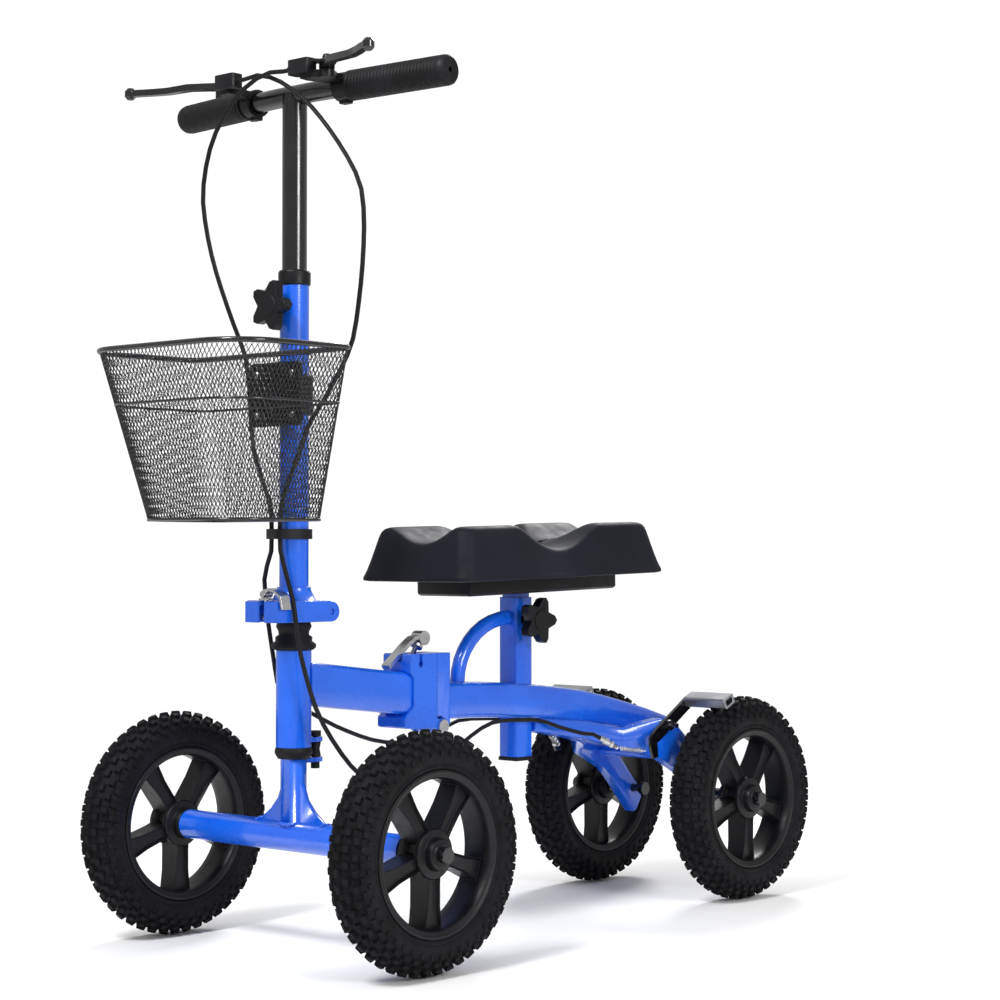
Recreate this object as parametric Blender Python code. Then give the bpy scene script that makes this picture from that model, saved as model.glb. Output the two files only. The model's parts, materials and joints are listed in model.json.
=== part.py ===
"""Folding knee scooter: a hinged two-piece frame on four spoked wheels, a folding and telescoping steering
column with a wire basket, two hand brakes that press on the rear tyres, and a knee pad on a sliding post.

Lengths are metres: +X is forwards, +Y is the rider's left and +Z is up, and the tyres stand on z = 0.
Positions are measured from the ground under the front axle. SHIFT then moves the whole scooter, so that
the world origin lies on the ground under the middle of its outline.
Neighbouring pieces keep GAP between their faces.
"""

import math

import bmesh
import bpy
from mathutils import Matrix, Vector

GAP = 0.0003

# Wheels: 10 inch across, 2 inch wide.
WHEEL_R = 0.1275
RIM_R = 0.0870
WHEEL_SIDES = 32
AXLE_Z = WHEEL_R * math.cos(math.pi / WHEEL_SIDES)
WHEELBASE = 0.6505
FRONT_TRACK = 0.200
REAR_TRACK = 0.119
AXLE_R = 0.005
BORE_R = 0.0053
HUB_HALF = 0.0258

# Frame.
BEAM_HALF = 0.019
FRONT_BEAM_TALL = 0.048
FRONT_BEAM_Z = 0.2937
FRONT_BEAM_FALL = 0.117
REAR_BEAM_TALL = 0.0415
REAR_BEAM_TAIL_TALL = 0.030
TAIL_RAKE = 1.15
CASTING_HALF = 0.022
CASTING_TOP = 0.320
FOLD_PIN = (-0.2103, 0.0, 0.236)
FOLD_FACE = -0.2015
KNUCKLE_R = 0.009
KNUCKLE_HALF = 0.0117
LATCH_FOOT = (-0.1754, 0.0, 0.308)
LATCH_EYE = (-0.1964, 0.0, 0.3369)
TONGUE_HALF = 0.0075

# Steering column.
STEERER_R = 0.0143
HEAD_R = 0.01935
HEAD_LOW = 0.2240
HEAD_TOP = 0.3294
STOP_BOLT_X = -0.032
COLUMN_PIN = (-0.033, 0.0, 0.371)
CLAMP_PIVOT = (0.040, 0.0, 0.366)
CLAMP_CAM = (0.040, 0.0, 0.3905)
CHANNEL_HALF = 0.0199
CHANNEL_TOP = 0.3785
COLUMN_R = 0.016
COLUMN_BORE_R = 0.0141
COLUMN_TOP = 0.7265
STEM_R = 0.0136
COLUMN_KNOB_Z = 0.702

# Handlebar: flat in the middle, then swept back to straight ends.
BAR_Z = 0.935
BAR_R = 0.011
BAR_END = 0.2100
BAR_FLAT = 0.020
BAR_STRAIGHT = 0.045
BAR_SWEEP = 0.1458
BAR_RISE = 0.017
GRIP_START = 0.0820
LEVER_PIVOT = (0.031, 0.084, 0.951)

# Seat.
SEAT_X = -0.360
SEAT_TUBE_HALF = 0.01425
SEAT_TUBE_LOW = 0.1905
SEAT_TUBE_TOP = 0.3815
POST_HALF = 0.01215
SEAT_KNOB_Z = 0.354
SEAT_TILT = math.radians(1.5)
SEAT_TILT_ABOUT = (SEAT_X, 0.0, 0.405)

# Rear brakes: an arm inside each fork leg presses a bar on the tyre.
BRAKE_PIVOT = (-0.551, 0.0795, 0.2212)
BRAKE_BAR = (-0.5925, 0.2513)
CABLE_R = 0.0025
ADJUSTER_FRONT = (-0.4695, 0.0400, 0.2078)
ADJUSTER_REAR = (-0.4924, 0.0490, 0.1949)

# Basket.
BASKET_BACK = 0.0295
BASKET_FRONT = 0.197
BASKET_HALF = 0.131
BASKET_TOP = 0.6525
BASKET_LOW = 0.467
BASKET_LOW_FRONT = 0.165
BASKET_LOW_HALF = 0.088
BASKET_WALL = 0.0025
CLIP_LOW = 0.4500
CLIP_HIGH = 0.4610
CLIP_CABLE_LEFT = (0.0195, -0.0150)
CLIP_CABLE_RIGHT = (0.0240, 0.0045)

SHIFT = Vector(((WHEELBASE + AXLE_Z - BASKET_FRONT) / 2, 0.0, 0.0))

X_AXIS = Vector((1, 0, 0))
Y_AXIS = Vector((0, 1, 0))
Z_AXIS = Vector((0, 0, 1))

# Each moving group hangs from an empty on its joint's axis: name, parent, point on the axis.
GROUPS = [
    ("rear_frame", None, (0, 0, 0)),
    ("front_frame", "rear_frame", FOLD_PIN),
    ("frame_latch", "rear_frame", LATCH_EYE),
    ("steering", "front_frame", (0, 0, HEAD_LOW)),
    ("column", "steering", COLUMN_PIN),
    ("column_latch", "column", CLAMP_PIVOT),
    ("column_latch_handle", "column_latch", CLAMP_CAM),
    ("handlebar_group", "column", (0, 0, BAR_Z)),
    ("column_knob_group", "column", (0, 0, COLUMN_KNOB_Z)),
    ("brake_hand_left", "handlebar_group", LEVER_PIVOT),
    ("brake_hand_right", "handlebar_group", (LEVER_PIVOT[0], -LEVER_PIVOT[1], LEVER_PIVOT[2])),
    ("seat", "rear_frame", (SEAT_X, 0, SEAT_TUBE_TOP)),
    ("seat_knob_group", "rear_frame", (SEAT_X, 0, SEAT_KNOB_Z)),
    ("brake_left", "rear_frame", BRAKE_PIVOT),
    ("brake_right", "rear_frame", (BRAKE_PIVOT[0], -BRAKE_PIVOT[1], BRAKE_PIVOT[2])),
    ("wheel_front_left", "steering", (0, FRONT_TRACK, AXLE_Z)),
    ("wheel_front_right", "steering", (0, -FRONT_TRACK, AXLE_Z)),
    ("wheel_rear_left", "rear_frame", (-WHEELBASE, REAR_TRACK, AXLE_Z)),
    ("wheel_rear_right", "rear_frame", (-WHEELBASE, -REAR_TRACK, AXLE_Z)),
]

# Base colour, roughness and metallic value of each finish.
FINISHES = {
    "blue_paint": ((0.010, 0.130, 0.870), 0.22, 0.0),
    "black_paint": ((0.010, 0.010, 0.013), 0.25, 0.3),
    "black_plastic": ((0.014, 0.014, 0.016), 0.45, 0.0),
    "black_rubber": ((0.018, 0.018, 0.020), 0.75, 0.0),
    "silver": ((0.70, 0.70, 0.71), 0.25, 1.0),
    "aluminium": ((0.42, 0.43, 0.47), 0.35, 0.9),
    "pad_vinyl": ((0.018, 0.018, 0.022), 0.40, 0.0),
}


# --- Shapes -----------------------------------------------------------------------------------------------


def finished(bm):
    """The mesh of a bmesh, with its faces turned outwards."""
    bmesh.ops.recalc_face_normals(bm, faces=bm.faces)
    mesh = bpy.data.meshes.new("shape")
    bm.to_mesh(mesh)
    bm.free()
    return mesh


def loft(rings, loop=False):
    """A skin over rings of points, closed by end faces, or round to the first ring when loop is true."""
    bm = bmesh.new()
    rows = [[bm.verts.new(point) for point in ring] for ring in rings]
    pairs = list(zip(rows, rows[1:]))
    if loop:
        pairs.append((rows[-1], rows[0]))
    else:
        bm.faces.new(rows[0])
        bm.faces.new(rows[-1])
    for low, high in pairs:
        for k in range(len(low)):
            bm.faces.new((low[k - 1], low[k], high[k], high[k - 1]))
    return finished(bm)


def turned(outline, sides, centre, axis, loop=False, half_step=False):
    """A turned shape from (radius, distance along the axis) points; loop gives a ring with a hole."""
    turn = Vector(axis).to_track_quat("Z", "Y").to_matrix()
    start = 0.5 if half_step else 0.0
    angles = [2 * math.pi * (k + start) / sides for k in range(sides)]
    rings = []
    for radius, along in outline:
        spots = [Vector((radius * math.cos(a), radius * math.sin(a), along)) for a in angles]
        rings.append([Vector(centre) + turn @ spot for spot in spots])
    return loft(rings, loop)


def rod(start, end, radius, sides=12):
    """A plain round bar."""
    along = Vector(end) - Vector(start)
    return turned([(radius, 0), (radius, along.length)], sides, start, along)


def pipe(start, end, outer, inner, sides=24):
    """A round tube, open at both ends."""
    along = Vector(end) - Vector(start)
    far = along.length
    return turned([(outer, 0), (outer, far), (inner, far), (inner, 0)], sides, start, along, loop=True)


def extruded(outline, low, high, plane="XZ"):
    """A flat outline given thickness from low to high, across its plane."""
    places = {
        "XZ": lambda a, b, depth: (a, depth, b),
        "XY": lambda a, b, depth: (a, b, depth),
        "YZ": lambda a, b, depth: (depth, a, b),
    }
    place = places[plane]
    return loft([[place(a, b, depth) for a, b in outline] for depth in (low, high)])


def box(low, high):
    """A block between two corners."""
    corners = [(low[0], low[2]), (high[0], low[2]), (high[0], high[2]), (low[0], high[2])]
    return extruded(corners, low[1], high[1])


def arc(centre, radius, start, end, steps):
    """Points along an arc, with the angles in degrees."""
    angles = [math.radians(start + (end - start) * k / steps) for k in range(steps + 1)]
    return [(centre[0] + radius * math.cos(a), centre[1] + radius * math.sin(a)) for a in angles]


def rounded_rectangle(half_a, half_b, radius, steps=2):
    """The outline of a rectangle about the origin, with round corners."""
    points = []
    for sign_a, sign_b, start in ((1, 1, 0), (-1, 1, 90), (-1, -1, 180), (1, -1, 270)):
        centre = (sign_a * (half_a - radius), sign_b * (half_b - radius))
        points += arc(centre, radius, start, start + 90, steps)
    return points


def combined(mesh, tools, operation):
    """The mesh after a Boolean with each tool in turn."""
    body = bpy.data.objects.new("body", mesh)
    bpy.context.collection.objects.link(body)
    helpers = []
    for tool in tools:
        helper = bpy.data.objects.new("tool", tool)
        helper.hide_render = True
        helper.display_type = "WIRE"
        bpy.context.collection.objects.link(helper)
        helpers.append(helper)
        boolean = body.modifiers.new("boolean", "BOOLEAN")
        boolean.object = helper
        boolean.operation = operation
        boolean.solver = "EXACT"
    bpy.context.view_layer.update()
    graph = bpy.context.evaluated_depsgraph_get()
    result = bpy.data.meshes.new_from_object(body.evaluated_get(graph))
    for extra in [body] + helpers:
        bpy.data.objects.remove(extra)
    return result


def joined(mesh, *others):
    return combined(mesh, others, "UNION")


def cut(mesh, *cutters):
    return combined(mesh, cutters, "DIFFERENCE")


def mirrored(mesh):
    """A right-hand copy of a left-hand mesh."""
    copy = mesh.copy()
    copy.transform(Matrix.Scale(-1, 4, Y_AXIS))
    copy.flip_normals()
    return copy


def tilted(mesh):
    """The mesh pitched with the seat, its rear end higher."""
    about = Matrix.Translation(SEAT_TILT_ABOUT)
    mesh.transform(about @ Matrix.Rotation(SEAT_TILT, 4, "Y") @ about.inverted())
    return mesh


def smooth_route(stations, spacing):
    """Points a given distance apart on a smooth curve through the stations."""
    stations = [Vector(station) for station in stations]
    ends = [2 * stations[0] - stations[1]] + stations + [2 * stations[-1] - stations[-2]]
    dense = []
    for a, b, c, d in zip(ends, ends[1:], ends[2:], ends[3:]):
        for k in range(20):
            t = k / 20
            bend = (2 * a - 5 * b + 4 * c - d) * t + (3 * (b - c) + d - a) * t * t
            dense.append(b + 0.5 * t * (c - a + bend))
    dense.append(stations[-1])
    length = sum((q - p).length for p, q in zip(dense, dense[1:]))
    count = math.ceil(length / spacing)
    points = [dense[0]]
    passed = 0.0
    for p, q in zip(dense, dense[1:]):
        step = (q - p).length
        while len(points) < count and passed + step >= length * len(points) / count:
            points.append(p.lerp(q, (length * len(points) / count - passed) / step))
        passed += step
    return points + [dense[-1]]


# --- The scene ---------------------------------------------------------------------------------------------


def clear_scene():
    for thing in list(bpy.data.objects):
        bpy.data.objects.remove(thing)


def make_materials():
    materials = {}
    for name, (colour, roughness, metallic) in FINISHES.items():
        material = bpy.data.materials.new(name)
        material.use_nodes = True
        shader = material.node_tree.nodes["Principled BSDF"]
        shader.inputs["Base Color"].default_value = (*colour, 1.0)
        shader.inputs["Roughness"].default_value = roughness
        shader.inputs["Metallic"].default_value = metallic
        materials[name] = material
    return materials


def make_groups():
    """An empty on each joint's axis, each hanging from its parent's."""
    groups = {}
    spots = {name: Vector(spot) for name, _, spot in GROUPS}
    for name, parent, _ in GROUPS:
        empty = bpy.data.objects.new(name, None)
        empty.empty_display_size = 0.02
        bpy.context.collection.objects.link(empty)
        if parent:
            empty.parent = groups[parent]
            empty.location = spots[name] - spots[parent]
        else:
            empty.location = spots[name] + SHIFT
        groups[name] = empty
    return groups, spots


clear_scene()
MATERIALS = make_materials()
EMPTIES, SPOTS = make_groups()


def add_piece(name, mesh, finish, group):
    """A named object for one piece, with its origin on its group's joint axis."""
    mesh.transform(Matrix.Translation(-SPOTS[group]))
    mesh.name = name
    mesh.materials.clear()
    mesh.materials.append(MATERIALS[finish])
    mesh.shade_smooth()
    mesh.set_sharp_from_angle(angle=math.radians(35))
    piece = bpy.data.objects.new(name, mesh)
    piece.parent = EMPTIES[group]
    bpy.context.collection.objects.link(piece)
    return piece


def add_pair(name, mesh, finish, group):
    """The left piece and its mirror image on the right."""
    right = mirrored(mesh)
    add_piece(name + "_left", mesh, finish, group + "_left")
    add_piece(name + "_right", right, finish, group + "_right")


# --- Wheels and axles --------------------------------------------------------------------------------------


def tyre():
    side = [(RIM_R + GAP, 0.0200), (0.1060, 0.0250), (0.1190, 0.0225), (WHEEL_R, 0.0090)]
    outline = [(r, -a) for r, a in side] + [(r, a) for r, a in reversed(side)]
    return turned(outline, WHEEL_SIDES, (0, 0, 0), Y_AXIS, loop=True, half_step=True)


def spoke(angle):
    """One flat spoke, wide at the hub and at the rim."""
    outline = [(0.013, 0.0105), (0.034, 0.0080), (0.060, 0.0085), (0.0800, 0.0120)]
    outline += [(along, -half) for along, half in reversed(outline)]
    mesh = extruded(outline, -0.008, 0.008)
    mesh.transform(Matrix.Rotation(angle, 4, "Y"))
    return mesh


def rim():
    side = [(RIM_R, 0.0200), (0.0790, 0.0205), (0.0770, 0.0165)]
    barrel = [(r, -a) for r, a in side] + [(r, a) for r, a in reversed(side)]
    hub = [(BORE_R, -HUB_HALF), (0.0165, -HUB_HALF), (0.0190, -0.010), (0.0190, 0.010), (0.0165, HUB_HALF)]
    hub.append((BORE_R, HUB_HALF))
    spokes = [spoke(math.radians(18 + 72 * k)) for k in range(5)]
    barrel_mesh = turned(barrel, WHEEL_SIDES, (0, 0, 0), Y_AXIS, loop=True, half_step=True)
    hub_mesh = turned(hub, 16, (0, 0, 0), Y_AXIS, loop=True)
    hollow = rod((0, -HUB_HALF, 0), (0, HUB_HALF, 0), 0.0140, 16)
    return joined(cut(joined(barrel_mesh, *spokes), hollow), hub_mesh)


def make_wheels():
    tyre_mesh = tyre()
    rim_mesh = rim()
    for place in ("front_left", "front_right", "rear_left", "rear_right"):
        group = "wheel_" + place
        for name, mesh, finish in (("tyre_", tyre_mesh, "black_rubber"), ("rim_", rim_mesh, "black_plastic")):
            copy = mesh.copy()
            copy.transform(Matrix.Translation(SPOTS[group]))
            add_piece(name + place, copy, finish, group)


def make_axles():
    far = FRONT_TRACK + HUB_HALF + GAP
    half = [(0.0085, far + 0.0074), (0.0085, far), (AXLE_R, far)]
    outline = [(r, -a) for r, a in half] + [(r, a) for r, a in reversed(half)]
    add_piece("front_axle", turned(outline, 12, (0, 0, AXLE_Z), Y_AXIS), "silver", "steering")
    near = REAR_TRACK - HUB_HALF - GAP
    far = REAR_TRACK + HUB_HALF + GAP
    outline = [(0.0085, 0.0345), (0.0085, 0.0405), (AXLE_R, 0.0405), (AXLE_R, 0.0753), (0.0090, 0.0753)]
    outline += [(0.0090, near), (AXLE_R, near), (AXLE_R, far), (0.0085, far), (0.0085, far + 0.0074)]
    axle = turned(outline, 12, (-WHEELBASE, 0, AXLE_Z), Y_AXIS)
    right = mirrored(axle)
    add_piece("rear_axle_left", axle, "silver", "rear_frame")
    add_piece("rear_axle_right", right, "silver", "rear_frame")


# --- Rear frame --------------------------------------------------------------------------------------------


def rear_centre(t):
    """The rear beam's centre line and its direction, in X and Z: a cubic from the hinge to the tail."""
    a, b, c, d = (Vector(p) for p in ((-0.2235, 0.2635), (-0.360, 0.2625), (-0.500, 0.2440), (-0.612, 0.2150)))
    s = 1 - t
    centre = s**3 * a + 3 * t * s**2 * b + 3 * t**2 * s * c + t**3 * d
    direction = s**2 * (b - a) + 2 * t * s * (c - b) + t**2 * (d - c)
    return centre, direction.normalized()


def rear_beam_ring(t, inset):
    """One section of the rear beam, shallower towards the tail, where it is raked back."""
    centre, direction = rear_centre(t)
    up = Vector((direction.y, -direction.x))
    taper = max(0.0, (t - 0.6) / 0.4)
    rake = TAIL_RAKE * max(0.0, (t - 0.8) / 0.2)
    tall = REAR_BEAM_TALL + (REAR_BEAM_TAIL_TALL - REAR_BEAM_TALL) * taper
    ring = []
    for across, height in rounded_rectangle(BEAM_HALF - inset, tall / 2 - inset, 0.006 - 0.5 * abs(inset)):
        spot = centre + up * height + direction * height * rake
        ring.append((spot.x, across, spot.y))
    return ring


def rear_beam():
    """A hollow beam, open towards the hinge and closed at the tail, with a square hole for the seat tube."""
    outer = [rear_beam_ring(k / 10, 0) for k in range(11)]
    inner = [rear_beam_ring(t, 0.0022) for t in (0.0, 0.2, 0.4, 0.6, 0.8, 0.95)]
    hole = SEAT_TUBE_HALF + GAP
    window = box((SEAT_X - hole, -hole, 0.20), (SEAT_X + hole, hole, 0.32))
    return cut(loft(inner[::-1] + outer), window)


def rear_beam_clearance():
    """The space that the rear beam takes, with the gap round it."""
    return loft([rear_beam_ring(k / 10, -GAP) for k in range(11)])


def rear_hinge_casting():
    """The rear half of the frame hinge: a knuckle on the pin and a tongue that carries the latch bolt."""
    x, _, z = FOLD_PIN
    outline = [(FOLD_FACE - GAP, CASTING_TOP), (-0.2230, CASTING_TOP), (-0.2230, z + 0.002)]
    outline += arc((x, z), KNUCKLE_R, 180, 360, 6)
    outline.append((FOLD_FACE - GAP, z + 0.003))
    body = extruded(outline, -CASTING_HALF, CASTING_HALF)
    tongue = box((x, -TONGUE_HALF, 0.3000), (-0.1660, TONGUE_HALF, 0.3135))
    relief = KNUCKLE_R + 0.0005
    outside = []
    for near, far in ((KNUCKLE_HALF, 0.03), (-0.03, -KNUCKLE_HALF)):
        outside.append(rod((x, near, z), (x, far, z), relief, 24))
        outside.append(box((x, near, z - 0.02), (-0.19, far, z + 0.0115)))
    bore = rod((x, -0.03, z), (x, 0.03, z), 0.0048)
    lean = (Vector(LATCH_EYE) - Vector(LATCH_FOOT)).normalized()
    bolt_hole = rod(Vector(LATCH_FOOT) - lean * 0.02, Vector(LATCH_FOOT) + lean * 0.02, 0.0034)
    return cut(joined(body, tongue), *outside, bore, bolt_hole)


def front_hinge_casting():
    """The front half of the frame hinge: two ears on the pin and a slot, open above, round the latch tongue."""
    x, _, z = FOLD_PIN
    outline = [(FOLD_FACE, CASTING_TOP), (-0.1605, CASTING_TOP), (-0.1585, CASTING_TOP - 0.002)]
    outline += [(-0.1585, 0.2990), (-0.1640, 0.2930), (-0.1640, 0.2600), (-0.1495, 0.2480), (-0.1495, 0.2380)]
    outline += [(-0.1515, 0.2360), (-0.2000, 0.2340)]
    outline += arc((x, z), KNUCKLE_R, 330, 180, 6)
    outline += arc((x, z), KNUCKLE_R, 150, 60, 3)
    outline.append((FOLD_FACE, z + 0.010))
    body = extruded(outline, -CASTING_HALF, CASTING_HALF)
    middle = rod((x, -KNUCKLE_HALF - GAP, z), (x, KNUCKLE_HALF + GAP, z), KNUCKLE_R + 0.0005, 24)
    behind = box((x - 0.02, -KNUCKLE_HALF - GAP, z - 0.02), (FOLD_FACE, KNUCKLE_HALF + GAP, z + 0.02))
    bore = rod((x, -0.03, z), (x, 0.03, z), 0.0048)
    half = TONGUE_HALF + 0.0004
    slot = box((-0.21, -half, 0.2996), (-0.1655, half, 0.33))
    groove = box((-0.17, -half, 0.3115), (-0.15, half, 0.33))
    foot_x, _, foot_z = LATCH_FOOT
    eye = rod((foot_x, -0.03, foot_z), (foot_x, 0.03, foot_z), 0.0036)
    key = box((foot_x - 0.0022, -0.03, foot_z), (foot_x + 0.0022, 0.03, 0.33))
    return cut(body, middle, behind, bore, slot, groove, eye, key, front_beam_clearance())


def frame_hinge_pin():
    x, _, z = FOLD_PIN
    half = [(0.0078, 0.0252), (0.0078, CASTING_HALF + GAP), (0.0045, CASTING_HALF + GAP)]
    outline = [(r, -a) for r, a in half] + [(r, a) for r, a in reversed(half)]
    return turned(outline, 12, (x, 0, z), Y_AXIS)


def frame_latch_bolt():
    """The leaning bolt, its saddle washer and the eye that the cam lever turns on."""
    foot = Vector(LATCH_FOOT)
    eye = Vector(LATCH_EYE)
    lean = (eye - foot).normalized()
    reach = (eye - foot).length
    low = reach - 0.0125
    shank = [(0.003, -0.004), (0.003, low), (0.0075, low), (0.0075, low + 0.003), (0.003, low + 0.003)]
    shank.append((0.003, reach))
    eye_ring = rod(eye - Y_AXIS * 0.0034, eye + Y_AXIS * 0.0034, 0.0052, 16)
    return joined(turned(shank, 12, foot, lean), eye_ring)


def frame_latch_lever():
    """A cam lever with two round cheeks beside the bolt's eye and a curved handle."""
    x, _, z = LATCH_EYE
    cheeks = rod((x, -0.0075, z), (x, 0.0075, z), 0.0085, 20)
    middle = [(-0.1925, 0.3385), (-0.1830, 0.3370), (-0.1700, 0.3285), (-0.1550, 0.3165), (-0.1405, 0.3052)]
    top = [(a + 0.0012, b + 0.0022) for a, b in middle]
    bottom = [(a - 0.0012, b - 0.0020) for a, b in middle]
    handle = extruded(top + bottom[::-1], -0.0062, 0.0062)
    around_eye = rod((x, -0.0037, z), (x, 0.0037, z), 0.0056, 16)
    lean = (Vector(LATCH_FOOT) - Vector(LATCH_EYE)).normalized()
    side = lean.cross(Y_AXIS)
    window = [side * 0.0056, side * 0.0056 + lean * 0.03, side * -0.0056 + lean * 0.03, side * -0.0056]
    sweep = [Vector(), lean * 0.03]
    for degrees in (30, 60, 90, 125):
        sweep.append(Matrix.Rotation(math.radians(degrees), 3, Y_AXIS) @ lean * 0.03)
    sweep.append(Matrix.Rotation(math.radians(125), 3, Y_AXIS) @ (lean * 0.005 + side * -0.004))
    cutters = [extruded([(x + p.x, z + p.z) for p in path], -0.0037, 0.0037) for path in (window, sweep)]
    return cut(joined(cheeks, handle), around_eye, *cutters)


def fork_leg():
    """The left leg: from under the beam, outwards beside the tail, then down to the axle."""
    sections = [
        (-0.3765, 0.2395, -0.3765, 0.2200, -0.0020, 0.0170),
        (-0.4687, 0.2275, -0.4687, 0.2050, 0.0060, 0.0250),
        (-0.5150, 0.2170, -0.5150, 0.1945, 0.0205, 0.0400),
        (-0.5500, 0.2290, -0.5500, 0.1785, 0.0550, 0.0750),
        (-0.5780, 0.2215, -0.5720, 0.1675, 0.0550, 0.0750),
        (-0.6020, 0.2020, -0.5960, 0.1555, 0.0550, 0.0750),
        (-0.6275, 0.1680, -0.6120, 0.1410, 0.0550, 0.0750),
        (-0.6620, 0.1310, -0.6400, 0.1110, 0.0550, 0.0750),
        (-0.6685, 0.1170, -0.6547, 0.0950, 0.0550, 0.0750),
    ]
    edge = 0.15
    corners = [(edge, 0), (1 - edge, 0), (1, edge), (1, 1 - edge)]
    corners += [(1 - edge, 1), (edge, 1), (0, 1 - edge), (0, edge)]
    rings = []
    for top_x, top_z, low_x, low_z, inner, outer in sections:
        ring = []
        for across, down in corners:
            x = top_x + (low_x - top_x) * down
            z = top_z + (low_z - top_z) * down
            ring.append((x, inner + (outer - inner) * across, z))
        rings.append(ring)
    return loft(rings)


def rear_fork():
    """Both legs, joined under the beam and by a thin cross tube, with the axle and brake bolt holes."""
    left = fork_leg()
    cross_tube = rod((-0.585, -0.060, 0.180), (-0.585, 0.060, 0.180), 0.006)
    axle_hole = rod((-WHEELBASE, -0.1, AXLE_Z), (-WHEELBASE, 0.1, AXLE_Z), BORE_R)
    x, _, z = BRAKE_PIVOT
    bolt_hole = rod((x, -0.1, z), (x, 0.1, z), 0.0034)
    return cut(joined(left, mirrored(left), cross_tube), axle_hole, bolt_hole, rear_beam_clearance())


def arch_tube():
    """A quarter of an ellipse from the top of the rear beam to the seat tube."""
    centre = (-0.346, 0.283)
    reach = 0.088
    rise = 0.074
    radius = 0.0088
    turns = [2 * math.pi * k / 12 for k in range(12)]
    rings = []
    for k in range(12):
        angle = math.radians(-10 + 110 * k / 11)
        spot = Vector((centre[0] + reach * math.cos(angle), 0, centre[1] + rise * math.sin(angle)))
        out = Vector((math.cos(angle) / reach, 0, math.sin(angle) / rise)).normalized()
        rings.append([spot + radius * (out * math.cos(a) + Y_AXIS * math.sin(a)) for a in turns])
    beyond = box((-0.40, -0.03, 0.32), (SEAT_X + SEAT_TUBE_HALF + GAP, 0.03, 0.40))
    return cut(loft(rings), rear_beam_clearance(), beyond)


def square_tube(half, wall, low, high, centre_x):
    """An upright square tube, open at both ends."""
    rings = []
    for size, z in ((half, low), (half, high), (half - wall, high), (half - wall, low)):
        corner = 0.0025 - 0.3 * (half - size)
        rings.append([(centre_x + a, b, z) for a, b in rounded_rectangle(size, size, corner, 2)])
    return loft(rings, loop=True)


def make_rear_frame():
    add_piece("rear_beam", rear_beam(), "blue_paint", "rear_frame")
    add_piece("rear_hinge_casting", rear_hinge_casting(), "blue_paint", "rear_frame")
    add_piece("frame_hinge_pin", frame_hinge_pin(), "silver", "rear_frame")
    add_piece("frame_latch_bolt", frame_latch_bolt(), "silver", "rear_frame")
    add_piece("frame_latch_lever", frame_latch_lever(), "silver", "frame_latch")
    add_piece("rear_fork", rear_fork(), "blue_paint", "rear_frame")
    add_piece("arch_tube", arch_tube(), "blue_paint", "rear_frame")
    tube = square_tube(SEAT_TUBE_HALF, 0.0018, SEAT_TUBE_LOW, SEAT_TUBE_TOP, SEAT_X)
    knob_hole = rod((SEAT_X, 0.005, SEAT_KNOB_Z), (SEAT_X, 0.02, SEAT_KNOB_Z), 0.0034)
    add_piece("seat_tube", cut(tube, knob_hole), "blue_paint", "rear_frame")
    cap = box((SEAT_X - 0.0148, -0.0148, 0.1858), (SEAT_X + 0.0148, 0.0148, SEAT_TUBE_LOW - GAP))
    plug = box((SEAT_X - 0.0114, -0.0114, 0.1880), (SEAT_X + 0.0114, 0.0114, 0.1990))
    add_piece("seat_tube_cap", joined(cap, plug), "black_plastic", "rear_frame")


# --- Rear brakes -------------------------------------------------------------------------------------------


def adjuster_axis():
    """The left cable adjuster's front end, its direction backwards and its length."""
    along = Vector(ADJUSTER_REAR) - Vector(ADJUSTER_FRONT)
    return Vector(ADJUSTER_FRONT), along.normalized(), along.length


def cable_adjuster():
    """A barrel adjuster: a ferrule, a thread with a lock nut, and a stop bracket's bush."""
    front, along, length = adjuster_axis()
    outline = [(0.0036, 0), (0.0036, 0.0060), (0.0045, 0.0060), (0.0045, 0.0120), (0.0030, 0.0120)]
    outline += [(0.0030, 0.0155), (0.0045, 0.0155), (0.0045, 0.0195), (0.0030, 0.0195), (0.0030, length)]
    return turned(outline, 10, front, along)


def brake_bracket():
    """The stiffening plate under the beam's tail, between the fork legs."""
    plate = box((-0.5780, -0.0110, 0.1950), (-0.4970, 0.0110, 0.2200))
    below = [(-0.4900, 0.1900), (-0.4900, 0.2095), (-0.5350, 0.2025), (-0.5850, 0.1955), (-0.5850, 0.1900)]
    return cut(plate, extruded(below, -0.03, 0.03), rear_beam_clearance())


def brake_spring():
    """The return spring round the cable's inner wire, up to the brake arm."""
    _, along, _ = adjuster_axis()
    start = Vector(ADJUSTER_REAR) + along * 0.0010
    end = Vector((-0.5131, 0.0720, 0.1910))
    onward = (end - start).normalized()
    coil = rod(start + onward * 0.0012, end, 0.0030, 10)
    wire = rod(end - onward * 0.002, end + onward * 0.0045, 0.0012, 8)
    return joined(coil, wire)


def ribbon(middle, halves):
    """The outline of a strip along a line of points, with half its width at each."""
    near = []
    far = []
    for k, (a, b) in enumerate(middle):
        before = Vector(middle[max(k - 1, 0)])
        after = Vector(middle[min(k + 1, len(middle) - 1)])
        along = (after - before).normalized()
        near.append((a + along.y * halves[k], b - along.x * halves[k]))
        far.append((a - along.y * halves[k], b + along.x * halves[k]))
    return near + far[::-1]


def brake_arm():
    """A flat cranked arm with its pivot bolt, washer and nut."""
    x, y, z = BRAKE_PIVOT
    middle = [(-0.5975, 0.2500), (-0.5935, 0.2475), (-0.5510, 0.2212), (-0.5320, 0.2095), (-0.5235, 0.2035)]
    middle += [(-0.5245, 0.1960), (-0.5275, 0.1820)]
    widths = [0.0055, 0.0078, 0.0078, 0.0078, 0.0072, 0.0065, 0.0045]
    plate = extruded(ribbon(middle, widths), y - 0.002, y + 0.002)
    bolt = [(0.0030, -0.0180), (0.0030, -0.0042), (0.0068, -0.0042), (0.0068, 0.0075), (0.0030, 0.0075)]
    bolt.append((0.0030, 0.0170))
    return joined(plate, turned(bolt, 12, (x, y, z), Y_AXIS))


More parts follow.
